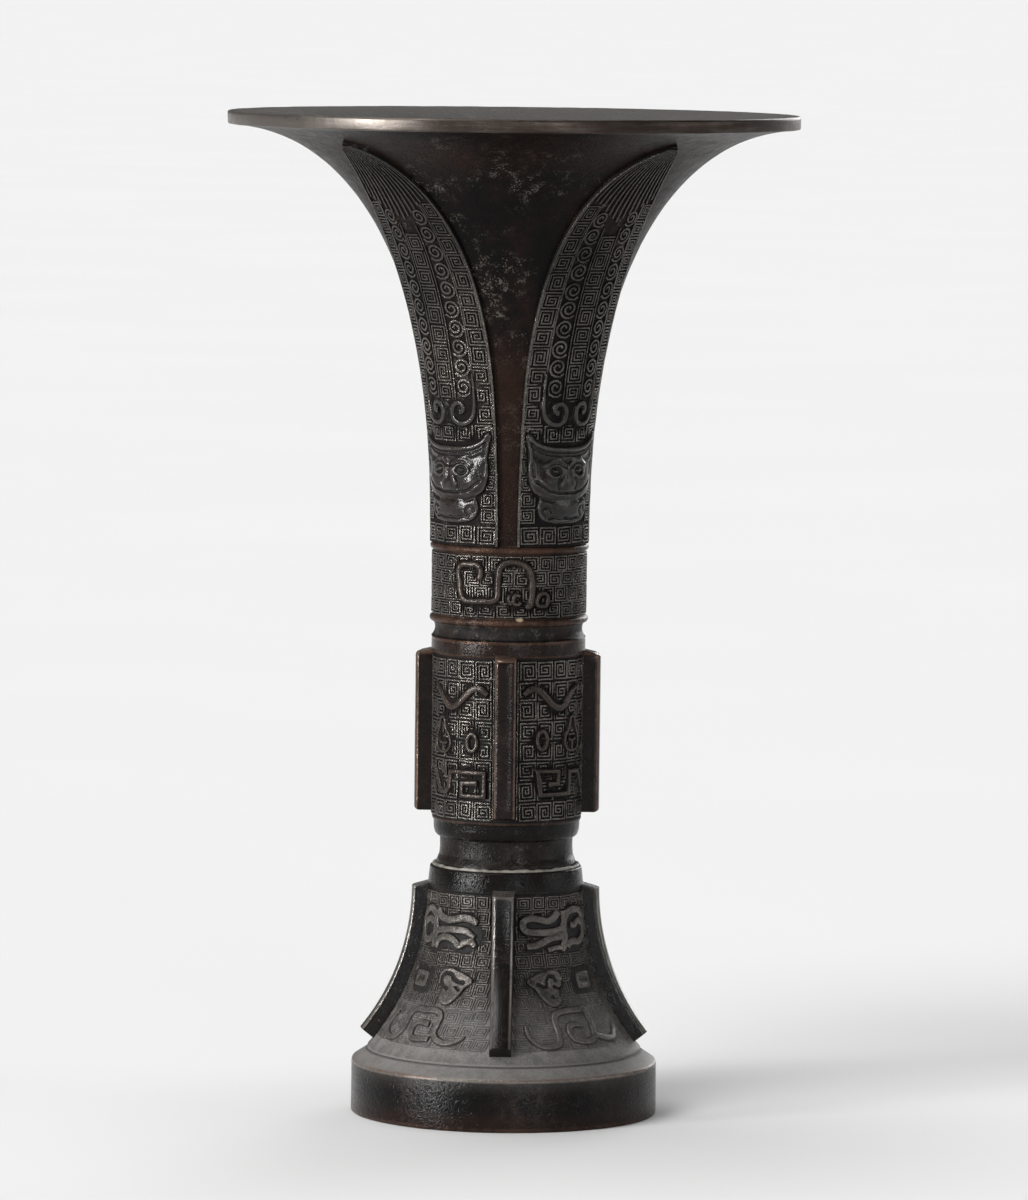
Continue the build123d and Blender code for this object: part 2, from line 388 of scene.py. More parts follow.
# %% The bronze recipe
def bronze(name, base, rough, grain, gloss, brown, crust,
           bands=(), worn=(), tops=None, hollows=CARVED_HOLLOWS, lip=False):
    """Patinated bronze.

    rough, grain and gloss are how dull, how pitted and how mirroring the patina is. brown and crust
    are the shares of brown patches and grey crust. bands lists stretches of the wall with a look of
    their own, a few of them painted light or shade: lowest and highest height in mm, colour, share,
    added roughness and how soft their ends are. worn lists edges rubbed bright: height and reach in mm
    and a share. tops gives raised ground, read from the piece's relief, a colour, a share and a share
    of bare metal, and the hollow colour, share and added roughness darken low ground and low rims, as
    black patina and painted shade in one. lip adds the edge of the mouth, its left side painted lighter
    as a highlight, and the dull pale grey inside, partly dust and partly painted light from above.
    """
    finish, shader, place = start_finish(name)
    height = place.part(2)
    patches = speckle(place, 42, 4)
    mottle = speckle(place, 300, 5)
    fine = speckle(place, 1700, 3)
    streaks = speckle(place, 60, 4, (1, 1, 14))
    pits = speckle(place, 800, 2).above(0.52, 0.72)
    grit = mottle * 0.5 + fine * 0.5
    browned = patches.above(0.42, 0.62) * mottle.above(0.25, 0.65) * brown
    crusted = speckle(place, 62, 4).above(0.44, 0.66) * grit.above(0.535, 0.585) * crust

    layer = place.node("Mix", {"data_type": "RGBA"}, {0: browned, 6: base, 7: UMBER}, 2)
    layer = layer.blend(SOOT, streaks.above(0.52, 0.72) * 0.5).blend(CRUST, crusted)
    dull = rough + (mottle - 0.5) * 0.30 + (streaks - 0.5) * 0.2 + crusted * 0.3
    bright = mottle * 0.0
    skin = mottle * 0.28 + fine * 0.72 + streaks * 0.05 - pits * 0.4
    if tops:
        relief = kept_mark(place, "relief")
        topped = relief.above(0.45, 0.95) * (patches * 0.35 + grit * 0.65).above(0.32, 0.60)
        # Low ground is painted dark: black patina and painted shade in the hollows beside raised work.
        sunk = 1 - relief.above(0.05, 0.45)
        layer = layer.blend(hollows[0], sunk * (0.6 + 0.4 * grit.above(0.30, 0.60)) * hollows[1])
        layer = layer.blend(tops[0], topped * tops[1])
        dull = dull + sunk * hollows[2]
        bright = topped * tops[2]
    for low, high, shade, share, matt, soft in bands:
        here = between(height, low, high, soft)
        layer = layer.blend(shade, here * (0.5 + 0.5 * grit.above(0.30, 0.66)) * share)
        dull = dull + here * matt
    for level, reach, share in worn:
        gap = place.maths("ABSOLUTE", height - level * MM)
        near = 1 - gap.above(reach * MM * 0.3, reach * MM)
        rubbed = near * (patches * 0.7 + mottle * 0.5).above(0.40, 0.70) * share
        layer = layer.blend(WORN, rubbed)
        bright = bright.most(rubbed)
    # The lip's left side is painted lighter as a highlight, over rubbed patches; the inside is a pale grey,
    # partly dust and partly painted light from above.
    if lip:
        edge, thinned_and_lit, inner, chip = mouth_masks(place, patches, mottle, streaks)
        layer = layer.blend(CHIP, chip).blend(LIP, edge * 0.9)
        layer = layer.blend(RUBBED_AND_LIT, thinned_and_lit * 0.7).blend(ASH_AND_TOP_LIGHT, inner * 0.45)
        dull = dull + edge * 0.06 + inner * 0.3
        bright = bright.most(edge * 0.8)
        skin = skin * (1 - edge * 0.8)

    pitted = place.node("Bump", {}, {"Strength": grain, "Distance": PIT_DEPTH, "Height": skin})
    sockets = {"Base Color": layer, "Metallic": 0.05 + bright * 0.8,
               "Roughness": dull - bright * 0.10, "Normal": pitted}
    for socket, tone in sockets.items():
        finish.node_tree.links.new(tone.socket, shader.inputs[socket])
    shader.inputs["Specular IOR Level"].default_value = gloss
    return finish


print("the bronze recipe is ready")

# %% [markdown]
# Heights in millimetres place the bands of each finish on the wall: polished ledges, dusty hollows,
# a pale grey on the spread of the foot and its shelf that is partly ash and partly painted light
# from above, and the edges that hands have rubbed. A few bands paint light and shade: a darker top to
# the leaves' lines, a highlight on the foot ring's top edge and a dark line under the flare's edge.
# The floor is plain matt paper.

# %% Mix the finishes
PAPER_TONES = ((0.72, 0.72, 0.72, 1), (0.75, 0.75, 0.745, 1))
floor_finish, floor_shader, floor_place = start_finish("pale_floor")
paper = floor_place.node("TexNoise", {}, {"Vector": floor_place, "Scale": 3.0, "Detail": 2.0})
paper_mix = {0: paper, 6: PAPER_TONES[0], 7: PAPER_TONES[1]}
paper = floor_place.node("Mix", {"data_type": "RGBA"}, paper_mix, 2)
floor_finish.node_tree.links.new(paper.socket, floor_shader.inputs["Base Color"])
floor_shader.inputs["Roughness"].default_value = 1.0
floor_shader.inputs["Specular IOR Level"].default_value = 0.0
floor.data.materials.append(floor_finish)

neck_finish = bronze(
    "neck_patina", SOOT, 0.36, 0.6, 0.055, brown=0.35, crust=0.4, lip=True,
    bands=((143.9, 147.8, DUST, 0.25, 0.05, 0.4), (150.6, 169.3, SOOT, 0.5, 0.35, 0.4),
           (172.0, 232.0, UMBER, 0.65, -0.08, 8), (284.0, 295.0, UMBER, 0.3, 0.0, 3)),
    worn=((149.15, 1.9, 0.5), (170.75, 1.9, 0.5)),
)
middle_finish = bronze(
    "middle_patina", SOOT, 0.31, 0.45, 0.11, brown=0.3, crust=0.3,
    bands=((139.2, 143.4, UMBER, 0.35, -0.12, 0.4), (89.2, 138.4, SOOT, 0.6, 0.35, 0.4),
           (84.2, 88.4, SOOT, 0.9, -0.12, 0.4), (74.0, 83.4, DUST, 0.06, 0.0, 0.4)),
    worn=((143.3, 0.9, 0.4), (138.9, 0.5, 0.3), (89.0, 0.5, 0.3)),
)
# The foot is painted paler towards the bottom of its spread and on the shelf, partly dust and partly painted
# light from above. The PALE band from 14.9 to 16.0 mm is a painted highlight on the ring's top edge, and the
# thin SOOT band from 18.6 to 19.1 mm is painted shade under the flare's edge.
foot_finish = bronze(
    "foot_patina", SOOT, 0.30, 0.45, 0.11, brown=0.35, crust=0.12,
    bands=((68.6, 74.0, SOOT, 0.8, -0.12, 0.4), (52.0, 67.6, DUST, 0.08, 0.3, 4),
           (38.0, 52.0, DUST, 0.4, 0.3, 6), (17.0, 36.0, ASH_AND_TOP_LIGHT, 1.0, 0.3, 7),
           (15.8, 19.5, ASH_AND_TOP_LIGHT, 0.9, 0.1, 0.3), (18.6, 19.1, SOOT, 0.9, 0.0, 0.3),
           (0.8, 14.8, SOOT, 0.5, -0.12, 0.5), (14.9, 16.0, PALE, 0.55, -0.10, 0.3),
           (0.0, 5.0, UMBER, 0.4, 0.0, 2)),
    worn=((15.5, 0.8, 0.4), (0.6, 1.0, 0.3)),
)
# The SOOT band from 245 mm up is painted shade: the upper part of the leaves' lines is darkened where the
# light falls off upwards.
line_finish = bronze(
    "raised_lines", (0.0062, 0.0057, 0.0053, 1), 0.25, 0.8, 0.07, brown=0.3, crust=0.2,
    bands=((245.0, 320.0, SOOT, 0.55, 0.1, 22),), tops=(PALE, 0.48, 0.85),
)
relief_finish = bronze(
    "raised_ornament", (0.010, 0.0074, 0.0062, 1), 0.25, 0.4, 0.22, brown=0.6, crust=0.1,
    tops=((0.110, 0.090, 0.075, 1), 0.36, 0.6),
)
mask_finish = bronze(
    "mask_patina", (0.0052, 0.0042, 0.0040, 1), 0.20, 0.25, 0.27, brown=0.35, crust=0.05,
    tops=(PALE, 0.24, 0.5),
)
foot_line_finish = bronze(
    "foot_lines", (0.011, 0.010, 0.0094, 1), 0.30, 0.8, 0.12, brown=0.3, crust=0.2,
    bands=((40.0, 60.0, DUST, 0.3, 0.0, 6), (15.0, 36.0, ASH_AND_TOP_LIGHT, 0.55, 0.1, 7)), tops=(PALE, 0.5, 0.7),
)
foot_relief_finish = bronze(
    "foot_ornament", (0.0085, 0.0070, 0.0066, 1), 0.25, 0.6, 0.24, brown=0.3, crust=0.2,
    bands=((15.0, 35.0, ASH_AND_TOP_LIGHT, 0.22, 0.1, 6),), tops=(PALE, 0.45, 0.6),
)
blade_finish = bronze(
    "leaf_ground", SOOT, 0.62, 0.6, 0.05, brown=0.3, crust=0.3,
    bands=((171.0, 300.0, DUST, 0.06, 0.0, 1),),
)
# On the bars the tops colour marks rubbed edges that are also a painted highlight, and top ends painted
# light as if lit from above.
bar_finish = bronze(
    "bar_patina", (0.0056, 0.0035, 0.0028, 1), 0.18, 0.2, 0.15, brown=0.45, crust=0.05,
    tops=((0.170, 0.112, 0.084, 1), 0.8, 0.7), hollows=BAR_HOLLOWS,
)
foot_bar_finish = bronze(
    "foot_bar_patina", (0.0045, 0.0040, 0.0039, 1), 0.20, 0.3, 0.26, brown=0.2, crust=0.1,
    tops=(PALE, 0.7, 0.7), hollows=BAR_HOLLOWS,
)
solder_finish = bronze("dull_solder", (0.260, 0.248, 0.220, 1), 0.50, 0.8, 0.30, brown=0.75, crust=0.3)
floor_patina = bronze("bowl_floor_patina", DUST, 0.60, 0.6, 0.20, brown=0.4, crust=0.6)
print("bronze finishes are mixed")


# %% [markdown]
# ## The castings
# Each casting is a turned shape, so half of its section is drawn once and spun round the axis. The
# section is drawn corner by corner, and a corner that is worn round on the real bronze is eased
# with a few points in the drawing, which keeps full control where thin steps lie close together.

# %% Section drawing helpers
ROUND_STEPS = 192


def eased(corners):
    """Replaces each (radius, height, easing) corner by a small rounding of that size."""
    points = []
    for i, corner in enumerate(corners):
        here = Vector(corner[:2])
        easing = corner[2] if len(corner) > 2 else 0
        if not easing:
            points.append(here)
            continue
        before = Vector(corners[i - 1][:2])
        after = Vector(corners[(i + 1) % len(corners)][:2])
        start = here + (before - here).normalized() * easing
        end = here + (after - here).normalized() * easing
        for share in (0, 0.25, 0.5, 0.75, 1):
            points.append(start * (1 - share) ** 2 + here * 2 * share * (1 - share) + end * share**2)
    return points


def arc_points(centre, radius, first, last, count):
    """Points on an arc in the section, angles in degrees."""
    angles = np.radians(np.linspace(first, last, count))
    return [(centre[0] + radius * math.cos(a), centre[1] + radius * math.sin(a)) for a in angles]


SEAM = 0.005


def sealed():
    """Merges the open mesh's doubled points and turns its faces outwards."""
    pick_all()
    bpy.ops.mesh.remove_doubles(threshold=SEAM * MM)
    bpy.ops.mesh.normals_make_consistent(inside=False)


def turned(name, section):
    """Draws a closed section point by point and spins it into a casting."""
    piece = one_vertex(name)
    here = Vector((0, 0))
    for i, point in enumerate([*section, section[0]]):
        step = (Vector(point[:2]) - here) * MM
        move = {"value": (step.x, 0, step.y)}
        if i == 0:
            bpy.ops.transform.translate(**move)
        else:
            bpy.ops.mesh.extrude_region_move(TRANSFORM_OT_translate=move)
        here = Vector(point[:2])
    pick_all()
    bpy.ops.mesh.remove_doubles(threshold=SEAM * MM)
    bpy.ops.mesh.spin(steps=ROUND_STEPS, angle=2 * math.pi, center=(0, 0, 0), axis=(0, 0, 1))
    sealed()
    close_mesh()
    smoothed(38)
    return piece


def flared(start, end, base, mouth, count):
    """The trumpet's curve: upright at its base, nearly level at the mouth."""
    reach, power = 5.3, 2.36
    level = mouth + reach
    last = math.acos((reach / (level - base)) ** (power / 2))
    rise = (end - start) / math.sin(last) ** (2 / power)
    points = []
    for i in range(count):
        angle = last * i / (count - 1)
        inward = math.cos(angle) ** (2 / power)
        along = math.sin(angle) ** (2 / power)
        points.append((level - (level - base) * inward, start + rise * along))
    return points


print("sections can be drawn")

# %% [markdown]
# A cast wall that has been handled for long is never quite even. Its points are read as rows of
# millimetres, moved a little inwards where a noise says so, and written back. A piece can also keep
# one number for each point, such as how worn it is there, which a finish reads as a mask.

# %% Points, marks and wear
def points_of(piece):
    """A piece's points as rows of x, y and z in millimetres."""
    flat = np.empty(len(piece.data.vertices) * 3)
    piece.data.vertices.foreach_get("co", flat)
    return flat.reshape(-1, 3) / MM


def set_points(piece, points):
    """Moves a piece's points to rows of x, y and z in millimetres."""
    piece.data.vertices.foreach_set("co", (points * MM).ravel())
    piece.data.update()


def mark(piece, name, values):
    """Keeps one number for each point of a piece, for its finish to read."""
    marks = piece.data.attributes.get(name) or piece.data.attributes.new(name, "FLOAT", "POINT")
    marks.data.foreach_set("value", np.clip(np.asarray(values, float), 0, 1))


def weathered(piece, depth, size):
    """Wears a casting's surface unevenly, always inwards, over spots of about this size in mm."""
    points = points_of(piece)
    normals = np.empty(len(points) * 3)
    piece.data.vertices.foreach_get("normal", normals)
    wear = []
    for point in points:
        broad = noise.noise(Vector(point) / size)
        close = noise.noise(Vector(point) * 3 / size)
        wear.append(min(0, broad + 0.5 * close - 0.6))
    set_points(piece, points + normals.reshape(-1, 3) * np.array(wear)[:, None] * depth)


print("points can be read, marked and worn")

# %% [markdown]
# The neck ends in a spigot that stands in the middle, and the middle in one that stands in the foot.
# Corners are written as radius, height and easing in millimetres. The outside of the trumpet and its
# bore follow the same kind of curve, and the flare of the foot is one arc inside and out.

# %% Neck, middle and foot
TRUMPET = {"start": 171.9, "end": 296.0, "base": 22.7, "mouth": 85.5}
BORE = {"start": 164.9, "end": 300.0, "base": 18.2, "mouth": 83.5}
INSIDE_SKIN = 0.4
FLARE_CENTRE = (97.406, 68.0)
FLARE_RADIUS = 74.206
FLARE_SWEEP = 40.406
FLARE_THICK = 3.4
INNER_SWEEP = (42.37, 2.585)
WEAR_DEPTH = 0.07
WEAR_SPOT = 6


def rib(height):
    """The round rib above or below the collar."""
    return arc_points((22.7, height), 1.1, -80, 80, 9)


bore = flared(**BORE, count=40)
bore_radii, bore_heights = zip(*bore)
neck_section = eased([
    (18.2, 134.7), (20.0, 134.7), (20.0, 143.75), (22.9, 143.75, 0.3),
    *arc_points((25.6, 146.2), 3.5, 226, 150, 7), (22.5, 148.0, 0.2),
    *rib(149.15), (22.8, 150.5, 0.2), (22.8, 169.4, 0.2),
    *rib(170.75), *flared(**TRUMPET, count=56)[:-1],
    (85.4, 296.0, 0.5), (85.5, 300.0, 0.9), (83.5, 300.0, 0.7), *reversed(bore[:-1]),
])
middle_section = eased([
    (18.2, 86.0), (15.2, 86.0), (15.2, 65.5), (18.6, 65.5), (18.6, 74.55), (20.85, 74.55, 0.2),
    (20.95, 75.8, 0.5), (20.6, 76.9, 0.4), (20.1, 78.0, 0.5), (19.9, 80.5, 0.8), (20.0, 83.4, 0.2),
    (20.6, 83.45, 0.2), (21.4, 84.1, 0.4), (21.9, 85.6, 0.7), (22.0, 88.4, 0.25), (22.4, 88.8, 0.35),
    (22.4, 138.7, 0.1), (23.1, 138.7, 0.35), (23.1, 143.7, 0.45), (20.05, 143.7), (20.05, 134.2),
    (18.2, 134.2),
])
inner_arc = (180 + sweep for sweep in INNER_SWEEP)
foot_section = eased([
    *arc_points(FLARE_CENTRE, FLARE_RADIUS, 180, 180 + FLARE_SWEEP, 40)[:-1],
    (41.1, 19.75, 0.2), (41.2, 18.9, 0.15), (45.9, 15.8, 0.7), (46.0, 0.0, 0.8), (42.0, 0.0, 0.6),
    (42.0, 13.2, 0.6), *arc_points(FLARE_CENTRE, FLARE_RADIUS + FLARE_THICK, *inner_arc, 24),
    (18.65, 64.5), (18.65, 74.5), (22.8, 74.5, 0.5), (23.5, 68.0, 0.4),
])


def inside_mouth(point):
    """1 on the inner wall of the trumpet."""
    inner = np.interp(point.z, bore_heights, bore_radii)
    return float(point.z > BORE["start"] + 1 and math.hypot(point.x, point.y) < inner + INSIDE_SKIN)


neck = turned("neck_casting", neck_section)
mark(neck, "inside", [inside_mouth(p.co / MM) for p in neck.data.vertices])
middle = turned("middle_casting", middle_section)
foot = turned("foot_casting", foot_section)
castings = {
    "neck_section": (neck, neck_finish),
    "middle_section": (middle, middle_finish),
    "foot_section": (foot, foot_finish),
}
for node, (casting, finish) in castings.items():
    weathered(casting, WEAR_DEPTH, WEAR_SPOT)
    belongs(casting, finish, "patinated_bronze", node)

# %% [markdown]
# The disc that closes the bowl and two seams of solder are hidden inside. Their solids are right as
# they are, so they stay and only get a finish.

# %% Hidden disc and solder
hidden = {"bowl_floor": floor_patina, "floor_solder": solder_finish, "neck_joint_solder": solder_finish}
for node, finish in hidden.items():
    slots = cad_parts[node].material_slots
    for slot in slots:
        slot.material = finish
    print(node, "keeps its solid, with", len(slots), "finish")


# %% [markdown]
# ## The upright bars
# Four straight bars stand on the drum and four curved ones on the foot. Their outer edges are painted
# bright, partly as wear where hands have rubbed them and partly as a painted highlight on the
# chamfers, and their top ends are painted light as if lit from above. Each point of a bar keeps this
# mark. One bar of each kind is modelled, and copied to the four sides.

# %% Tools for the bars
SIDES = {"front": -90, "right": 0, "back": 90, "left": 180}
CROWN = 0.05
CROWN_DEPTH = 1.5


def unpicked(kind):
    """Closes the active piece with nothing selected, ready for its edges or faces to be picked."""
    open_mesh()
    bpy.ops.mesh.select_mode(type=kind)
    bpy.ops.mesh.select_all(action="DESELECT")
    close_mesh()


def pick_edges(piece, wanted):
    """Selects the edges whose two ends, in mm, satisfy a test, and leaves the mesh open."""
    unpicked("EDGE")
    points = piece.data.vertices
    for edge in piece.data.edges:
        edge.select = all(wanted(points[i].co / MM) for i in edge.vertices)
    open_mesh()


def cut(axis, *levels):
    """Cuts the open mesh through at some levels along an axis, in mm."""
    way = Vector([axis == name for name in "xyz"])
    for level in levels:
        pick_all()
        bpy.ops.mesh.bisect(plane_co=way * (level * MM), plane_no=way)


def bar_wear_and_highlight(off, across, half_width, edge_width):
    """1 on a bar's outer edges, rubbed and painted as a highlight, less over its faces; off is the distance
    in from the outer face.
    """
    edge = 1 - min(1, max(0, half_width - abs(across) - edge_width) / 0.7)
    return edge * (1 - min(1, max(0, off - 0.35) / 0.7)) + 0.25 * (off < 0.3)


def crowned(bar, face):
    """Rounds a bar's outer face, at this distance from the axis, a little across its width."""
    for point in bar.data.vertices:
        if point.co.x > (face - CROWN_DEPTH) * MM:
            point.co.x -= CROWN * (point.co.y / MM) ** 2 * MM


def on_four_sides(bar, name, finish, node):
    """Copies of a bar on the four sides of the vessel, in place of their solids."""
    for side, degrees in SIDES.items():
        belongs(copied(bar, name + side, turn_by(degrees)), finish, "worn_bronze", node + side)
    cleared(bar)


print("tools for the bars are ready")

# %% [markdown]
# A straight bar is a stretched cube with its outer edges bevelled. Its face is cut into strips, so
# that it can be crowned.

# %% Straight bars on the drum
CROWN_CUTS = (-1.4, -0.6, 0.6, 1.4)
BAR_ROUNDING = 1.0
BAR_SHARP = 40
MID_BAR_SIZE = (6.13, 6.4, 49.0)
MID_BAR_PLACE = (24.735, 0, 115.5)
MID_BAR_HALF = MID_BAR_SIZE[1] / 2
MID_BAR_FACE = MID_BAR_PLACE[0] + MID_BAR_SIZE[0] / 2
MID_BAR_SLOPE = 1.4
MID_BAR_SHOULDER = 137.5
MID_BAR_LIT_TOP = 137.8


def mid_bar_wear_and_light(point):
    """The wear and painted highlight of a straight bar at a point in mm; its top end is painted light."""
    wear = bar_wear_and_highlight(MID_BAR_FACE - point.x, point.y, MID_BAR_HALF, 0.2)
    return max(wear, 0.9 * (point.z > MID_BAR_LIT_TOP))


put_down()
bpy.ops.mesh.primitive_cube_add(size=1)
mid_bar = named("mid_bar")
open_mesh()
bpy.ops.transform.resize(value=[size * MM for size in MID_BAR_SIZE])
bpy.ops.transform.translate(value=[place * MM for place in MID_BAR_PLACE])
pick_edges(mid_bar, lambda p: p.x > MID_BAR_FACE - 0.8 and p.z > MID_BAR_SHOULDER)
bpy.ops.transform.translate(value=(0, 0, -MID_BAR_SLOPE * MM))
pick_edges(mid_bar, lambda p: p.x > MID_BAR_FACE - 0.8)
bpy.ops.mesh.bevel(offset=BAR_ROUNDING * MM, segments=3, profile=0.5)
pick_edges(mid_bar, lambda p: p.z > MID_BAR_SHOULDER and abs(p.y) > MID_BAR_HALF - 0.1)
bpy.ops.mesh.bevel(offset=0.3 * MM, segments=2)
cut("z", *range(94, 138, 3))
cut("y", *CROWN_CUTS)
cut("x", 24.5, 26.0)
close_mesh()
smoothed(BAR_SHARP)
mark(mid_bar, "relief", [mid_bar_wear_and_light(p.co / MM) for p in mid_bar.data.vertices])
crowned(mid_bar, MID_BAR_FACE)
on_four_sides(mid_bar, "mid_bar_", bar_finish, "mid_flange_")

# %% [markdown]
# A curved bar is a rounded section swept about the centre of the flare, so it keeps the same height
# off the wall all the way down. Its top end is drawn up a little against the collar.

# %% Curved bars on the foot
FOOT_BAR_RISE = 5.0
FOOT_BAR_HALF = 3.25
FOOT_BAR_SUNK = 0.45
FOOT_BAR_SWEEP = 38.5
FOOT_BAR_TOP = 67.9
FOOT_BAR_LIT_TOP = 67.3
FOOT_BAR_DRAW = 1.3
FOOT_BAR_FALL = 0.28
flare_top = FLARE_CENTRE[0] - FLARE_RADIUS
bar_outer = flare_top + FOOT_BAR_RISE
bar_inner = flare_top - FOOT_BAR_SUNK


def foot_bar_wear_and_light(point):
    """The wear and painted highlight of a curved bar at a point in mm, from its distance off the flare's
    wall; its top end is painted light.
    """
    rise = FLARE_RADIUS - math.hypot(point.x - FLARE_CENTRE[0], point.z - FLARE_CENTRE[1])
    off = FOOT_BAR_RISE - rise - CROWN * point.y**2
    return max(bar_wear_and_highlight(off, point.y, FOOT_BAR_HALF, 0.5), 0.8 * (point.z > FOOT_BAR_LIT_TOP))


put_down()
bpy.ops.mesh.primitive_plane_add(size=1)
foot_bar = named("foot_bar")
open_mesh()
bpy.ops.transform.resize(value=((bar_outer - bar_inner) * MM, 2 * FOOT_BAR_HALF * MM, 1))
bpy.ops.transform.translate(value=((bar_outer + bar_inner) / 2 * MM, 0, FLARE_CENTRE[1] * MM))
pick_edges(foot_bar, lambda p: p.x > (bar_outer + bar_inner) / 2)
bpy.ops.mesh.select_mode(type="VERT")
bpy.ops.mesh.bevel(offset=BAR_ROUNDING * MM, segments=3, affect="VERTICES", profile=0.5)
cut("y", *CROWN_CUTS)
cut("x", bar_outer - 2)
close_mesh()
crowned(foot_bar, bar_outer)
open_mesh()
pick_all()
flare_pivot = (FLARE_CENTRE[0] * MM, 0, FLARE_CENTRE[1] * MM)
bpy.ops.mesh.spin(steps=30, angle=math.radians(FOOT_BAR_SWEEP), center=flare_pivot, axis=(0, 1, 0))
sealed()
close_mesh()
for point in foot_bar.data.vertices:
    if point.co.z > FOOT_BAR_TOP * MM:
        point.co.z += (FOOT_BAR_DRAW - (point.co.x / MM - flare_top) * FOOT_BAR_FALL) * MM
smoothed(BAR_SHARP)
mark(foot_bar, "relief", [foot_bar_wear_and_light(p.co / MM) for p in foot_bar.data.vertices])
on_four_sides(foot_bar, "foot_bar_", foot_bar_finish, "foot_flange_")


# %% [markdown]
# ## The solder at the foot
# Middle and foot are joined by soft solder, and a thin uneven bead of it shows on the ledge between
# them. A ring is added, flattened and made lumpy with a few waves of different lengths.

# %% Solder bead
BEAD_RADIUS = 21.4
BEAD_THICK = 0.8
BEAD_HEIGHT = 74.75
put_down()
bpy.ops.mesh.primitive_torus_add(
    major_segments=240, minor_segments=10,
    major_radius=BEAD_RADIUS * MM, minor_radius=BEAD_THICK * MM, location=(0, 0, 0),
)
bead = named("foot_solder_bead")
for point in bead.data.vertices:
    turn = math.atan2(point.co.y, point.co.x)
    lump = 0.75 + 0.16 * math.sin(9 * turn + 1) + 0.12 * math.sin(23 * turn) + 0.10 * math.sin(41 * turn + 2)
    point.co.z = BEAD_HEIGHT * MM + point.co.z * (lump if point.co.z > 0 else 0.4)
bpy.ops.object.shade_smooth()
belongs(bead, solder_finish, "solder", "foot_joint_solder")


# %% [markdown]
# ## Laying flat ornament on a curved wall
# All the ornament is modelled flat on a table, where it is easy to draw: x runs round the vessel, y
# up its wall and z off it. No operator bends a sheet round a trumpet, so one helper moves each point
# from the table to the wall. It also keeps how far a point stands out, for the finishes to read.

# %% Walls of the vessel
trumpet_line = np.array(flared(**TRUMPET, count=500))
trumpet_run = np.concatenate([[0], np.cumsum(np.hypot(*np.diff(trumpet_line, axis=0).T))])
trumpet_way = np.gradient(trumpet_line, trumpet_run, axis=0)


def trumpet_wall(along):
    """Radius, height and outward direction at a distance up the trumpet's curve."""
    radius = np.interp(along, trumpet_run, trumpet_line[:, 0])
    height = np.interp(along, trumpet_run, trumpet_line[:, 1])
    out = np.interp(along, trumpet_run, trumpet_way[:, 1])
    down = np.interp(along, trumpet_run, trumpet_way[:, 0])
    return radius, height, out, -down


def upright_wall(radius, foot):
    """An upright wall of one radius that starts at one height."""
    return lambda along: (radius + 0 * along, foot + along, 1 + 0 * along, 0 * along)


def foot_wall(along):
    """The flare of the foot, measured up from the shelf."""
    angle = math.radians(FLARE_SWEEP) - along / FLARE_RADIUS
    radius = FLARE_CENTRE[0] - FLARE_RADIUS * np.cos(angle)
    return radius, FLARE_CENTRE[1] - FLARE_RADIUS * np.sin(angle), np.cos(angle), np.sin(angle)


COLLAR_RADIUS = 22.8
DRUM_RADIUS = 22.4
collar_wall = upright_wall(COLLAR_RADIUS, 150.3)
drum_wall = upright_wall(DRUM_RADIUS, 88.8)


def lay(piece, wall, middle, top, lift=0.0):
    """Bends a flat piece round the wall, with x = 0 at the middle angle in degrees."""
    across, along, off = points_of(piece).T
    mark(piece, "relief", off / top)
    radius, height, out, rise = wall(along)
    angle = math.radians(middle) + across / radius
    far = radius + (off + lift) * out
    up = height + (off + lift) * rise
    set_points(piece, np.stack([far * np.cos(angle), far * np.sin(angle), up], 1))
    return piece


print("the trumpet's wall is", round(trumpet_run[-1], 1), "mm long")


# %% [markdown]
# ## The leaf blades
# Four plantain leaves climb the trumpet and end in a point under the lip. Each is a thin blade that
# stands a little off the wall. A flat grid is drawn in to the leaf's outline, laid on the wall and
# given its thickness.

# %% Leaf blades
LEAF_LENGTH = 136.0
LEAF_HALF = 15.1
LEAF_SWELL = 1.3
LEAF_ARCH = 70
LEAF_RISE = 0.7
LEAF_THICK = 1.1
LEAF_SHARP = 40
QUARTERS = (-135, -45, 45, 135)


def leaf_half(along):
    """Half the leaf's width at a distance up from the rib: nearly even, then a long pointed arch."""
    low = np.clip((along - 20) / 50, 0, 1)
    shaft = LEAF_HALF + LEAF_SWELL * low * low * (3 - 2 * low)
    arch = np.clip((along - LEAF_ARCH) / (LEAF_LENGTH - LEAF_ARCH), 0, 1)
    return shaft * np.clip(1 - arch**2.7, 0, 1) ** 0.8


for number, angle in enumerate(QUARTERS, 1):
    put_down()
    bpy.ops.mesh.primitive_grid_add(x_subdivisions=24, y_subdivisions=100, size=2)
    blade = named("leaf_blade_%d" % number)
    grid = points_of(blade) * MM
    along = (grid[:, 1] + 1) / 2 * LEAF_LENGTH
    along = LEAF_LENGTH * (1 - (1 - along / LEAF_LENGTH) ** 1.25)
    set_points(blade, np.stack([grid[:, 0] * leaf_half(along), along, 0 * along], 1))
    lay(blade, trumpet_wall, angle, 1.0, LEAF_RISE)
    open_mesh()
    pick_all()
    bpy.ops.mesh.remove_doubles(threshold=0.01 * MM)
    close_mesh()
    skin = blade.modifiers.new("thickness", "SOLIDIFY")
    skin.thickness = LEAF_THICK * MM
    skin.offset = -1
    apply_all(blade)
    smoothed(LEAF_SHARP)
    belongs(blade, blade_finish, "patinated_bronze")


# %% [markdown]
# ## Thunder pattern
# The ground between the larger motifs is filled with leiwen, or thunder pattern: little square
# spirals in thin raised lines, and on the leaves round ones too. One square spiral, one round spiral
# and one straight line are modelled here, and copied everywhere else. The square one is cut out of a
# small grid, whose odd rows and columns are the narrow gaps between its lines.

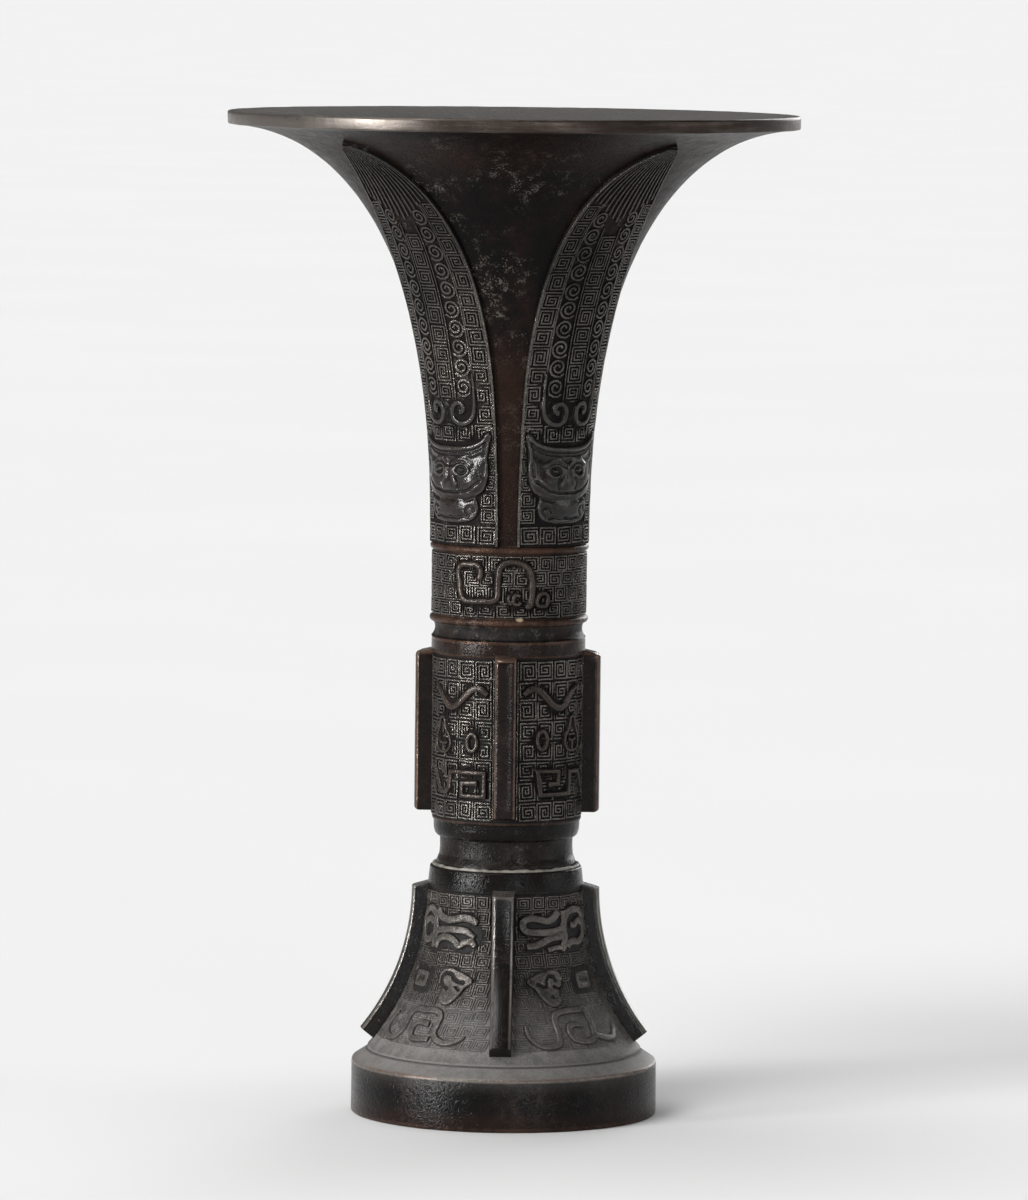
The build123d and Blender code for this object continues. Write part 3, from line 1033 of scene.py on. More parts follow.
# %% Square spiral
SPIRAL_CELLS = 11
SPIRAL_TURNS = [
    (0, 0), (10, 0), (10, 10), (0, 10), (0, 2), (8, 2), (8, 8), (2, 8), (2, 4), (6, 4), (6, 6), (4, 6),
]
LINE_CELL = 1.18
GAP_CELL = (SPIRAL_CELLS - 6 * LINE_CELL) / 5


def raise_lines(edge):
    """Raises the selected flat faces by one unit with sloping sides, and closes their foot."""
    bpy.ops.mesh.inset(thickness=edge, depth=1, use_even_offset=True)
    bpy.ops.mesh.select_mode(type="EDGE")
    bpy.ops.mesh.select_all(action="DESELECT")
    bpy.ops.mesh.select_non_manifold()
    bpy.ops.mesh.edge_face_add()
    pick_all()
    bpy.ops.mesh.normals_make_consistent(inside=False)
    close_mesh()


def pick_faces(piece, wanted):
    """Selects the faces whose centre satisfies a test, and leaves the mesh open."""
    unpicked("FACE")
    for face in piece.data.polygons:
        face.select = wanted(face.center)
    open_mesh()


on_line = set()
for (x0, y0), (x1, y1) in zip(SPIRAL_TURNS, SPIRAL_TURNS[1:]):
    for x in range(min(x0, x1), max(x0, x1) + 1):
        for y in range(min(y0, y1), max(y0, y1) + 1):
            on_line.add((x, y))


def in_gap(centre):
    """True for a cell of the grid that the spiral's line does not cross."""
    cell = (int((centre.x + 0.5) * SPIRAL_CELLS), int((centre.y + 0.5) * SPIRAL_CELLS))
    return cell not in on_line


def widened(share):
    """Where a grid line goes once the line cells are wide and the gap cells narrow."""
    index = round((share + 0.5) * SPIRAL_CELLS)
    return ((index + 1) // 2 * LINE_CELL + index // 2 * GAP_CELL) / SPIRAL_CELLS - 0.5


put_down()
bpy.ops.mesh.primitive_grid_add(x_subdivisions=SPIRAL_CELLS, y_subdivisions=SPIRAL_CELLS, size=1)
square_spiral = named("square_spiral")
pick_faces(square_spiral, in_gap)
bpy.ops.mesh.delete(type="FACE")
pick_all()
bpy.ops.mesh.dissolve_limited(angle_limit=math.radians(5))
close_mesh()
for point in square_spiral.data.vertices:
    point.co.x = widened(point.co.x)
    point.co.y = widened(point.co.y)
open_mesh()
pick_all()
bpy.ops.mesh.bisect(plane_co=(0.02, 0, 0), plane_no=(1, 0, 0))
pick_all()
raise_lines(0.018)
print("square spiral has", len(square_spiral.data.polygons), "faces")

# %% [markdown]
# The round spiral starts as a short edge that is spun through nearly two turns. The spin gives rings
# on top of each other, and drawing each step in a little further opens them into a spiral. The
# straight line is a strip in many short lengths, so that it can follow a curved wall.

# %% Round spiral and straight line
COIL_STEP = 30
COIL_PARTS = 23
COIL_PITCH = 0.195
COIL_WIDE = 0.118
round_spiral = one_vertex("round_spiral")
bpy.ops.transform.translate(value=(0.5, 0, 0))
bpy.ops.mesh.extrude_region_move(TRANSFORM_OT_translate={"value": (-COIL_WIDE, 0, 0)})
pick_all()
coil_turn = math.radians(COIL_STEP * COIL_PARTS)
bpy.ops.mesh.spin(steps=COIL_PARTS, angle=coil_turn, center=(0, 0, 0), axis=(0, 0, 1))
close_mesh()
for index, point in enumerate(round_spiral.data.vertices):
    far = point.co.length
    point.co *= (far - COIL_PITCH * (index // 2) * COIL_STEP / 360) / far
open_mesh()
bpy.ops.mesh.select_mode(type="FACE")
pick_all()
bpy.ops.mesh.normals_make_consistent(inside=False)
raise_lines(0.016)
print("round spiral has", len(round_spiral.data.polygons), "faces")

put_down()
bpy.ops.mesh.primitive_grid_add(x_subdivisions=1, y_subdivisions=36, size=1)
straight_line = named("straight_line")
open_mesh()
pick_all()
bpy.ops.mesh.extrude_region_move(TRANSFORM_OT_translate={"value": (0, 0, 1)})
bpy.ops.transform.resize(value=(0.6, 1, 1))
pick_all()
bpy.ops.mesh.normals_make_consistent(inside=False)
close_mesh()
print("straight line has", len(straight_line.data.polygons), "faces")

# %% [markdown]
# The founder cut every spiral into the model by hand, so no two are quite alike. Each copy is stamped
# on the table with a small seeded shift, tilt and change of height, in one hand or the other.

# %% Stamping the units
LINE_RISE = 0.48
LINE_SUNK = 0.12
HAND_SEED = 29
hand = random.Random(HAND_SEED)
noise.seed_set(HAND_SEED)


def mirrored(unit):
    """The other hand of a unit."""
    other = copied(unit, unit.name, Matrix.Diagonal((-1, 1, 1, 1)))
    other.data.flip_normals()
    return other


def stamp(unit, x, y, width, length, turn=0, height=LINE_RISE, loose=1.0):
    """A copy of a unit on the table, never quite straight, with its foot below ground."""
    tall = height * hand.uniform(0.88, 1.0) + LINE_SUNK
    x += hand.uniform(-0.12, 0.12) * loose
    y += hand.uniform(-0.12, 0.12) * loose
    tilt = turn_by(hand.uniform(-2, 2) * loose)
    place = Matrix.Translation(Vector((x, y, -LINE_SUNK)) * MM)
    size = Matrix.Diagonal((width * MM, length * MM, tall * MM, 1))
    return copied(unit, unit.name, place @ tilt @ size @ turn_by(turn))


def ruled(x, y, width, length, height=LINE_RISE):
    """A straight line on the table, set true."""
    return stamp(straight_line, x, y, width, length, height=height, loose=0)


def joined(name, pieces):
    """Joins pieces into one mesh."""
    take(*pieces)
    bpy.ops.object.join()
    return named(name)


square_hands = (square_spiral, mirrored(square_spiral))
round_hands = (round_spiral, mirrored(round_spiral))
print("units are ready to stamp")


# %% [markdown]
# ## Tools for raised motifs
# The larger motifs stand higher than the thunder pattern and have the soft edges of worn casting. A
# motif is drawn with round strokes and filled plates that overlap freely, each with a low rim where
# the ground was cut away, which the finish paints black as shade. Curves draw them best, because a
# curve has a thickness that can swell and taper along it.

# %% Strokes and plates
# Low rims and cut-back ground stand too low for any relief mark, so the finish paints them black: painted
# shade round each motif.
MOTIF_SUNK = 0.35
RIM_RISE = 0.14
RIM_WIDE = 0.6


def drawn_curve(outline, points, smooth, closed, stretch, top):
    """Puts a line through points in millimetres, makes it a mesh and gives it a flat foot and crown.

    A third number of a point widens the line there.
    """
    spline = outline.splines.new("BEZIER")
    spline.bezier_points.add(len(points) - 1)
    for knot, point in zip(spline.bezier_points, points):
        knot.co = (point[0] * MM, point[1] * MM, 0)
        knot.radius = point[2] if len(point) > 2 else 1
        knot.handle_left_type = knot.handle_right_type = "AUTO" if smooth else "VECTOR"
    spline.use_cyclic_u = closed
    holder = bpy.data.objects.new("drawn", outline)
    bpy.context.scene.collection.objects.link(holder)
    take(holder)
    bpy.ops.object.convert(target="MESH")
    piece = bpy.context.object
    mesh_points = points_of(piece)
    mesh_points[:, 2] = np.clip(mesh_points[:, 2] * stretch, -MOTIF_SUNK, top)
    set_points(piece, mesh_points)
    return piece


def tube(points, width, top, smooth, closed, flat):
    """A round line with its crown flattened, the more the higher the last number."""
    outline = bpy.data.curves.new("stroke", "CURVE")
    outline.dimensions = "3D"
    outline.resolution_u = 6
    outline.bevel_depth = width / 2 * MM
    outline.bevel_resolution = 3
    outline.use_fill_caps = True
    return drawn_curve(outline, points, smooth, closed, flat * top / (width / 2), top)


def stroke(points, width, top, smooth=True, closed=False, flat=1.5):
    """A raised band along a line, with its low rim, which the finish paints black as shade."""
    rim = tube(points, width + RIM_WIDE, RIM_RISE, smooth, closed, 1.0)
    return [tube(points, width, top, smooth, closed, flat), rim]


def plate(points, top):
    """A raised plate inside a closed line, with its low rim, which the finish paints black as shade."""
    outline = bpy.data.curves.new("plate", "CURVE")
    outline.dimensions = "2D"
    outline.fill_mode = "BOTH"
    outline.resolution_u = 6
    outline.extrude = 0.6 * top * MM
    outline.bevel_depth = 0.4 * top * MM
    outline.bevel_resolution = 2
    outline.offset = -0.4 * top * MM
    rim = tube(points, RIM_WIDE, RIM_RISE, True, True, 1.0)
    return [drawn_curve(outline, points, True, True, 1.0, top), rim]


def ground(points):
    """The ground inside a closed line, cut back to just above the wall and painted black as shade."""
    flat = plate(points, MOTIF_SUNK)
    low = points_of(flat[0])
    low[:, 2] -= MOTIF_SUNK - RIM_RISE
    set_points(flat[0], low)
    return flat


def flipped(points, shift=0.0):
    """The same line on the other side of the middle."""
    return [(shift - point[0], *point[1:]) for point in points]


def oval(x, y, wide, tall, count=12):
    """Points round an oval."""
    turns = [2 * math.pi * i / count for i in range(count)]
    return [(x + wide * math.cos(t), y + tall * math.sin(t)) for t in turns]


print("strokes and plates can be drawn")

# %% [markdown]
# A fine voxel remesh melts the overlapping shapes into one skin, and a few smoothing passes wear it.
# Grooves and swellings are then pressed into the top as with a modelling tool: a point moves the
# more, the nearer it lies to the tool.

# %% Melting and pressing
MOTIF_VOXEL = 0.16


def softened(piece, passes):
    """Wears a motif's skin smooth."""
    wear = piece.modifiers.new("wear", "SMOOTH")
    wear.factor = 0.5
    wear.iterations = passes
    apply_all(piece)


def melted(name, *drawings):
    """Melts overlapping strokes and plates into one worn skin."""
    piece = joined(name, [part for drawing in drawings for part in drawing])
    skin = piece.modifiers.new("melt", "REMESH")
    skin.mode = "VOXEL"
    skin.voxel_size = MOTIF_VOXEL * MM
    softened(piece, 4)
    bpy.ops.object.shade_smooth()
    return piece


def grip(points):
    """How much of a push each point takes: all on a motif's top, none at its foot."""
    return np.clip((points[:, 2] - 0.1) / 0.45, 0, 1)


def press(piece, line, width, depth):
    """Presses a groove along a line into a motif's top; a negative depth raises a crease."""
    points = points_of(piece)
    nearest = np.full(len(points), 1e9)
    for start, end in zip(line, line[1:]):
        start, end = np.array(start), np.array(end)
        way = end - start
        share = np.clip((points[:, :2] - start) @ way / (way @ way), 0, 1)
        nearest = np.minimum(nearest, np.hypot(*(points[:, :2] - start - share[:, None] * way).T))
    points[:, 2] -= depth * np.exp(-((nearest / width) ** 2)) * grip(points)
    set_points(piece, points)


def swell(piece, centre, reach, height):
    """Swells a motif's top round a centre."""
    points = points_of(piece)
    away = ((points[:, 0] - centre[0]) / reach[0]) ** 2 + ((points[:, 1] - centre[1]) / reach[1]) ** 2
    points[:, 2] += height * np.exp(-away) * grip(points)
    set_points(piece, points)


print("motifs can be melted and pressed")

# %% [markdown]
# On the vessel the fine lines stop short of each motif, so lines that come near one are pressed below
# the ground. What lies flat on the table is then copied to its places on the wall and shifted a
# little by a seeded noise, because work cut by hand is never quite true. Each point of a motif keeps
# whether it lies on a ridge, which wear brightens, or in a hollow or on the low ground, which the
# finish paints dark as black patina and painted shade.

# %% Clearing round motifs, laying them on the wall
def sink(lines, motif, margin=0.55, lowest=RIM_RISE + 0.1):
    """Presses the fine lines below the ground close to a motif, where their cutter stopped."""
    raised = points_of(motif)
    raised = raised[raised[:, 2] > lowest]
    near = KDTree(len(raised))
    for index, point in enumerate(raised):
        near.insert((point[0], point[1], 0), index)
    near.balance()
    points = points_of(lines)
    for point in points:
        if near.find((point[0], point[1], 0))[2] < margin:
            point[2] = min(point[2], -0.05)
    set_points(lines, points)


def worked(piece, reach, size):
    """Shifts the points a little, as a carver's hand and long wear do; both numbers in millimetres."""
    points = points_of(piece)
    set_points(piece, points + reach * np.array([noise.noise_vector(Vector(p) / size) for p in points]))


def ridges(piece, even):
    """For each point, a mark for even tops, more on a ridge that wear brightens, less in a hollow, and none
    on low rims and cut-back ground; the finish paints what is low black, as patina and painted shade.
    """
    height = points_of(piece)[:, 2]
    first, second = np.array([edge.vertices[:] for edge in piece.data.edges]).T
    ends = np.concatenate((first, second))
    count = np.bincount(ends, minlength=len(height))
    soft = height
    for _ in range(30):
        soft = np.bincount(ends, np.concatenate((soft[second], soft[first])), len(height)) / count
    return np.clip(even + 2.0 * (height - soft), 0, 1) * np.clip((height - 0.15) / 0.3, 0, 1)


def placed(motif, name, finish, wall, angle, lift=0.0, even=0.5):
    """A copy of a motif laid on a wall as a finished piece."""
    piece = copied(motif, name)
    lay(piece, wall, angle, 1.0, lift)
    worked(piece, 0.08, 2.2)
    mark(piece, "relief", ridges(motif, even))
    belongs(piece, finish, "patinated_bronze")


def placed_lines(table, name, finish, wall, angle, lift=0.0, top=LINE_RISE):
    """A copy of a table of fine lines laid on a wall as a finished piece."""
    lines = copied(table, name)
    lay(lines, wall, angle, top, lift)
    worked(lines, 0.10, 0.9)
    belongs(lines, finish, "patinated_bronze")


print("motifs can be laid on the walls")

# %% [markdown]
# ## The leaves' ornament
# Each leaf carries five columns: square spirals along both edges and up the middle, round spirals
# between them. Fine lines divide the columns, a rim follows the edge, and above them a fan of lines
# runs together in the tip. Low on the leaf the dividing lines end in a pair of curled hooks. Below
# them sits an animal's mask: pointed ears joined by a hollow brow, round eyes, a broad nose, full
# cheeks over a wide mouth, and a chin with curled corners.

# %% Hooks and mask
hook = [
    (9.5, 52, 0.45), (9.5, 45, 0.6), (9.2, 40.6, 0.85), (8.0, 37.9), (5.3, 36.6), (2.9, 37.3),
    (1.9, 39.8), (2.7, 42.2), (4.6, 42.8), (5.8, 41.5), (5.2, 40.2), (4.4, 40.2, 1.2),
]
face_half = [
    (0, 29.7), (4.5, 29.8), (8.5, 30.6), (11, 31.9), (13.5, 33.9), (13.2, 30), (12.6, 26.5),
    (12.8, 22.5), (12.2, 19), (10.9, 16.4), (8.9, 14.7), (9.3, 13.2), (9.5, 11.2), (8.9, 9.2),
    (7.3, 7.8), (5.2, 7.2), (2.8, 6.9), (0, 6.9),
]
face_line = face_half + flipped(face_half)[-2:0:-1]
brow = [(0, 29.0), (4, 29.1), (8, 29.7), (10.5, 30.8), (12.4, 32.2)]
face_creases = [
    (0.6, -0.38, (0.8, 24.7), (3, 25.9), (5.6, 25.8), (7.6, 24.4)),
    (0.7, -0.35, (1.2, 23.0), (1.5, 20.8), (2.6, 18.6)),
    (0.4, 0.45, (2.9, 20.6), (3.5, 18.8), (3.0, 17.2)),
    (0.34, 0.5, (0, 16.0), (3.0, 16.1), (6.6, 16.8), (10.2, 19.6)),
    (0.8, 0.12, (0, 14.0), (4.5, 13.9)),
    (0.55, 0.5, (5.6, 13.7), (8.8, 14.7)),
    (0.4, 0.35, (0, 8.6), (2.4, 8.4), (4.6, 8.9), (6.2, 8.5)),
    (0.3, 0.4, (12.0, 30.9), (11.5, 27.2)),
    (0.35, 0.4, (11.7, 24.8), (11.2, 21.4)),
]
hooks = stroke(hook, 1.6, 0.85), stroke(flipped(hook), 1.6, 0.85)
leaf_motif = melted("leaf_motif", *hooks, plate(face_line, 0.75))


def crease(side, width, depth, *line):
    """Presses a line of the right half of the face into the half on one side."""
    press(leaf_motif, [(side * x, y) for x, y in line], width, depth)


def ring(side, wide, tall, width, depth):
    """Presses a ring round the eye on one side."""
    eye = oval(4.4 * side, 22.7, wide, tall)
    press(leaf_motif, [*eye, eye[0]], width, depth)


swell(leaf_motif, (0, 20.5), (9, 6.5), 0.5)
swell(leaf_motif, (0, 11.0), (7, 2.6), 0.4)
swell(leaf_motif, (0, 18.2), (2.6, 2.0), 0.45)
for side in (-1, 1):
    crease(side, 0.6, -0.22, *brow)
    for drop in (1.0, 1.9):
        crease(side, 0.28, 0.45, *[(x, y - drop) for x, y in brow])
    crease(side, 1.3, 0.35, *[(x, y - 3.6) for x, y in brow[:4]])
    swell(leaf_motif, (7.6 * side, 19.0), (3.2, 2.8), 0.65)
    ring(side, 2.4, 1.7, 0.55, -0.28)
    ring(side, 1.5, 1.0, 0.45, 0.6)
    swell(leaf_motif, (4.4 * side, 22.7), (0.8, 0.7), 0.6)
    press(leaf_motif, oval(6.9 * side, 10.6, 1.3, 1.4, 10)[:8], 0.35, 0.4)
    for line in face_creases:
        crease(side, *line)
softened(leaf_motif, 3)
print("mask and hooks have", len(leaf_motif.data.polygons), "faces")

# %% [markdown]
# The columns of spirals are stamped as if the leaf kept one width to its tip. Then lines, hooks and
# mask are drawn in together to the leaf's outline, and copied to the four leaves.

# %% Lines on a leaf
LEAF_DRAWN_HALF = 15.5
FAN_TOP = 134.5


def leaf_table():
    """The fine lines of one leaf, flat."""
    for side_hand, side in enumerate((-1, 1)):
        for row in range(12):
            unit = square_hands[(row + side_hand) % 2]
            yield stamp(unit, 12.25 * side, 39.6 + 5.9 * row, 5.0, 5.5, 90 * (row % 4))
        for row in range(10):
            yield stamp(round_hands[side_hand], 6.4 * side, 47.8 + 6.05 * row, 6.5, 6.8, 40 * side)
        for row in range(6):
            unit = square_hands[(row + side_hand) % 2]
            wide = 4.4 if row < 2 else 2.6
            yield stamp(unit, (14.7 - wide / 2) * side, 9.2 + 4.9 * row, wide, 4.4, 90 * (row % 4))
        yield ruled(9.45 * side, 79.0, 0.55, 58, LINE_RISE + 0.1)
        yield ruled(3.35 * side, 71.0, 0.45, 56)
        yield ruled(15.1 * side, 66.0, 1.0, 131.9, LINE_RISE + 0.1)
    for row in range(9):
        yield stamp(square_hands[row % 2], 0, 46.0 + 5.9 * row, 5.4, 5.5, 90 * (row % 3))
    for column in range(-2, 3):
        for level in (3.4, 33.8):
            yield stamp(square_hands[column % 2], 5.95 * column, level, 5.5, 5.3, 90 * (column % 4))
    for line in range(-6, 7):
        low = 101 + 1.35 * abs(line)
        yield ruled(2.2 * line, (low + FAN_TOP) / 2, 0.9, FAN_TOP - low)


leaf_lines = joined("leaf_lines", list(leaf_table()))
sink(leaf_lines, leaf_motif)
for flat in (leaf_lines, leaf_motif):
    drawn = points_of(flat)
    drawn[:, 0] *= leaf_half(drawn[:, 1]) / LEAF_DRAWN_HALF
    set_points(flat, drawn)
for number, angle in enumerate(QUARTERS, 1):
    placed_lines(leaf_lines, "leaf_lines_%d" % number, line_finish, trumpet_wall, angle, LEAF_RISE)
    placed(leaf_motif, "leaf_mask_%d" % number, mask_finish, trumpet_wall, angle, LEAF_RISE)
cleared(leaf_lines, leaf_motif)


# %% [markdown]
# ## The collar
# A band of thunder pattern runs round the collar between its two ribs, and a dragon drawn as one
# long line lies on it at the front and again at the back: a square hook for the tail, a step down,
# and an arched body with a curl under it.

# %% Collar dragon and lines
dragon = [
    (-6.4, 11.8, 1.1), (-5.9, 14.1), (-6.8, 15.8), (-9.5, 16.1), (-12.3, 15.9), (-13.4, 14.7),
    (-13.1, 11), (-12.5, 7.2), (-11.5, 5.6), (-9.3, 5.2), (-5, 5.3), (-2.2, 5.4), (-1.0, 6.3),
    (-0.7, 9), (-0.5, 13), (0.3, 15.8), (2.3, 17), (5.2, 17), (7.8, 15.8), (9.1, 13.3), (9.6, 10),
    (9.4, 6.5), (8.9, 4.3), (7.6, 3.4, 0.8),
]
blob = [(11.3, 4.2), (11.3, 6.6), (12.6, 7.8), (14.2, 7.3), (14.5, 5.4), (13.9, 4.2), (12.5, 4.0)]
dragon_motif = melted(
    "dragon_motif",
    stroke(dragon, 1.85, 0.95, flat=1.25),
    stroke([(6, 7.0), (4.8, 7.3), (3.9, 6.2), (4.1, 4.9), (5.3, 4.5), (6.1, 5.1)], 1.1, 0.75),
    stroke([(2.7, 7.4), (2.5, 5.8), (3.2, 4.4)], 1.0, 0.7),
    stroke(blob, 1.2, 0.85, closed=True),
    stroke([(12.6, 5.9), (13.2, 5.6)], 1.1, 0.6),
)
COLLAR_COLUMNS = 28
COLLAR_FACES = {"front": -95, "back": 85}
collar_pitch = 2 * math.pi * COLLAR_RADIUS / COLLAR_COLUMNS


def collar_table():
    """The thunder pattern of half the collar, flat, every second row half a square along."""
    for row in range(4):
        for column in range(COLLAR_COLUMNS // 2):
            unit = square_hands[(row + column) % 2]
            across = (column - COLLAR_COLUMNS / 4 + 0.25 + 0.5 * (row % 2)) * collar_pitch
            yield stamp(unit, across, 2.7 + 4.65 * row, 4.85, 4.45, 90 * ((row + 2 * column) % 4))


collar_lines = joined("collar_lines", list(collar_table()))
sink(collar_lines, dragon_motif)
for name, angle in COLLAR_FACES.items():
    placed(dragon_motif, "collar_dragon_" + name, relief_finish, collar_wall, angle)
    placed_lines(collar_lines, "collar_lines_" + name, line_finish, collar_wall, angle)
cleared(collar_lines, dragon_motif)


# %% [markdown]
# ## The drum
# Two masks look out from the drum, one at the front and one at the back, each split down its nose by
# a bar. Half a mask is a wavy horn, an oval eye, a pear-shaped ear and a square hooked jaw. The left
# and right halves were cut by hand and differ a little, so both are drawn.

# %% Drum lines and mask halves
right_ear = [
    (5.4, 32.2), (3.8, 28.8), (2.0, 25.8), (2.4, 23.0), (5.2, 21.8), (8.0, 23.0), (8.5, 25.8),
    (7.0, 28.8),
]
left_ear = [
    (-4.2, 31.4), (-5.9, 27.8), (-7.3, 24.7), (-6.4, 22.0), (-3.7, 21.0), (-1.0, 22.2), (-0.5, 24.7),
    (-2.5, 27.9),
]
drum_right = melted(
    "drum_right",
    stroke([(-12.4, 39.0, 0.8), (-10.8, 40.4), (-9, 40.9), (-7.3, 40.1), (-4.8, 37.7), (-2.4, 35.5),
            (-0.4, 34.9), (1.6, 35.6), (3.4, 37.7), (5.0, 39.5, 0.9), (6.9, 40.6, 0.7),
            (9.0, 41.4, 0.35)], 2.2, 0.95),
    stroke(oval(-6.5, 25.4, 1.6, 2.75), 1.35, 0.95, closed=True),
    stroke(right_ear, 1.0, 0.9, closed=True),
    stroke([(5.2, 21.9), (5.2, 24.8)], 1.1, 0.85),
    stroke([(3.5, 25.4), (5.2, 24.9), (6.9, 25.4)], 1.1, 0.85),
    stroke([(-4.3, 12.1), (-0.8, 12.2), (-0.6, 15.9), (-8.0, 16.2), (-7.3, 13), (-6.9, 9.0), (3.9, 9.1),
            (4.2, 15.6), (8.6, 15.5), (10.2, 13.2), (11.4, 10.4, 0.6)], 2.0, 0.95, smooth=False),
    stroke([(-9.8, 17.0, 0.35), (-7.5, 16.1)], 1.6, 0.9),
)
drum_left = melted(
    "drum_left",
    stroke([(12.2, 38.8, 0.8), (10.8, 40.1), (9.2, 40.7), (7.4, 40.2), (5.4, 38.6), (3.2, 36.4),
            (0.8, 34.9), (-1.2, 35.0), (-3.0, 36.4), (-5.2, 38.6, 0.9), (-7.2, 40.2, 0.7),
            (-9.4, 41.5, 0.35)], 2.2, 0.95),
    stroke(oval(7.4, 24.4, 1.6, 2.55), 1.35, 0.95, closed=True),
    stroke([(7.4, 28.4), (7.4, 28.9)], 1.3, 0.6),
    stroke(left_ear, 1.0, 0.9, closed=True),
    stroke([(-3.7, 21.1), (-3.7, 23.6)], 1.1, 0.85),
    stroke([(-5.7, 23.9), (-3.7, 23.7), (-1.8, 23.9)], 1.1, 0.85),
    stroke([(9.4, 12.3), (4.1, 12.2), (4.1, 8.4), (11.4, 8.4), (11.4, 15.4), (-0.2, 15.4), (-0.8, 10.8),
            (-2.0, 9.4), (-4.2, 9.2), (-5.4, 10.6), (-6.6, 13.2),
            (-8.0, 15.6, 0.6)], 2.0, 0.95, smooth=False),
)


def drum_table(motif):
    """The thunder pattern of a quarter of the drum, flat, cleared round its half mask."""
    made = []
    for row in range(8):
        for column in range(-2, 3):
            unit = square_hands[(row + column) % 2]
            turn = 90 * ((row * 3 + column) % 4)
            made.append(stamp(unit, 5.45 * column, 4.1 + 6.0 * row, 5.2, 5.6, turn))
    made += [ruled(14.05 * side, 25.4, 0.5, 47.5) for side in (-1, 1)]
    lines = joined("drum_lines", made)
    sink(lines, motif)
    return lines


drum_halves = ((drum_right, drum_table(drum_right)), (drum_left, drum_table(drum_left)))
for number, angle in enumerate(QUARTERS, 1):
    motif, lines = drum_halves[number % 2]
    placed(motif, "drum_mask_%d" % number, relief_finish, drum_wall, angle)
    placed_lines(lines, "drum_lines_%d" % number, line_finish, drum_wall, angle)
cleared(*drum_halves[0], *drum_halves[1])


# %% [markdown]
# ## The foot
# The foot repeats the arrangement on a widening wall. Each quarter carries a ringed curl with three
# wavy fingers, a heart-shaped leaf beside a small square ring, and a large square hook with curled
# tails. Outlines come first: the leaf, its creases, and the ground cut back behind the fingers, which
# the finish paints black as shade.

# %% Outlines on the foot
heart = [
    (-14.4, 26.0), (-12, 27.9), (-9, 29.0), (-6.4, 29.7), (-4.2, 29.2), (-2.9, 27.4), (-3.0, 25.2),
    (-4.4, 24.0), (-5.2, 22.4), (-5.1, 20.3), (-6.4, 18.7), (-8.4, 18.3), (-10.2, 19.7), (-11.6, 21.8),
    (-12.6, 24),
]
right_curl = [
    (-11.2, 25.4), (-9.7, 24.5), (-8.5, 24.7), (-8.2, 26.4), (-7.3, 27.7), (-5.7, 27.6), (-5.3, 26.6),
]
right_fold = [(-6.3, 24.5), (-5.2, 24.0), (-4.2, 23.8), (-3.3, 24.9), (-3.0, 26.0)]
left_curl = [
    (10.0, 25.5), (8.4, 25.6), (7.0, 26.4), (5.6, 27.8), (3.6, 28.1), (2.4, 27.0), (2.6, 25.2),
    (3.7, 23.9), (5.0, 23.4),
]
left_fold = [(8.2, 24.0), (9.4, 23.2)]


def rounded_square(x, y, wide, tall, corner=0.75):
    """Points round a square with soft corners, from its middle and half sizes."""
    bend = corner + 0.2
    quarter = [(wide, corner * tall), (bend * wide, bend * tall), (corner * wide, tall)]
    upper = quarter + flipped(quarter)[::-1]
    return [(x + a, y + b) for a, b in upper + [(-a, -b) for a, b in upper]]


def ringed_pad(x, y):
    """A soft square pad in a groove of low ground that the finish paints dark as shade."""
    return ground(rounded_square(x, y, 4.5, 3.8)) + plate(rounded_square(x, y, 3.1, 2.4), 0.6)


right_ground = [
    (-12.4, 40.4), (-13.0, 43), (-10.6, 45), (-4.6, 44), (-1, 46), (3, 46.6), (9, 46.4), (11.4, 43),
    (10.8, 37.5), (8, 35.2), (2, 35), (-2, 35.2), (-6, 36.4), (-9, 35.8), (-12.6, 35.8), (-12, 37.6),
    (-8, 39),
]
left_ground = [
    (-13.4, 42), (-12.4, 38), (-9, 36), (-4, 34.2), (1, 36), (5, 35.2), (10, 35), (12.2, 37.6),
    (12, 42.6), (8, 44), (0, 43.6), (-3.6, 44.5), (-6, 47), (-10, 47), (-12.8, 45),
]
print("outlines on the foot are drawn")

# %% [markdown]
# As on the drum, the right and left halves differ a little, so both are drawn. Creases are pressed
# into the leaf, and a hollow into the square ring.

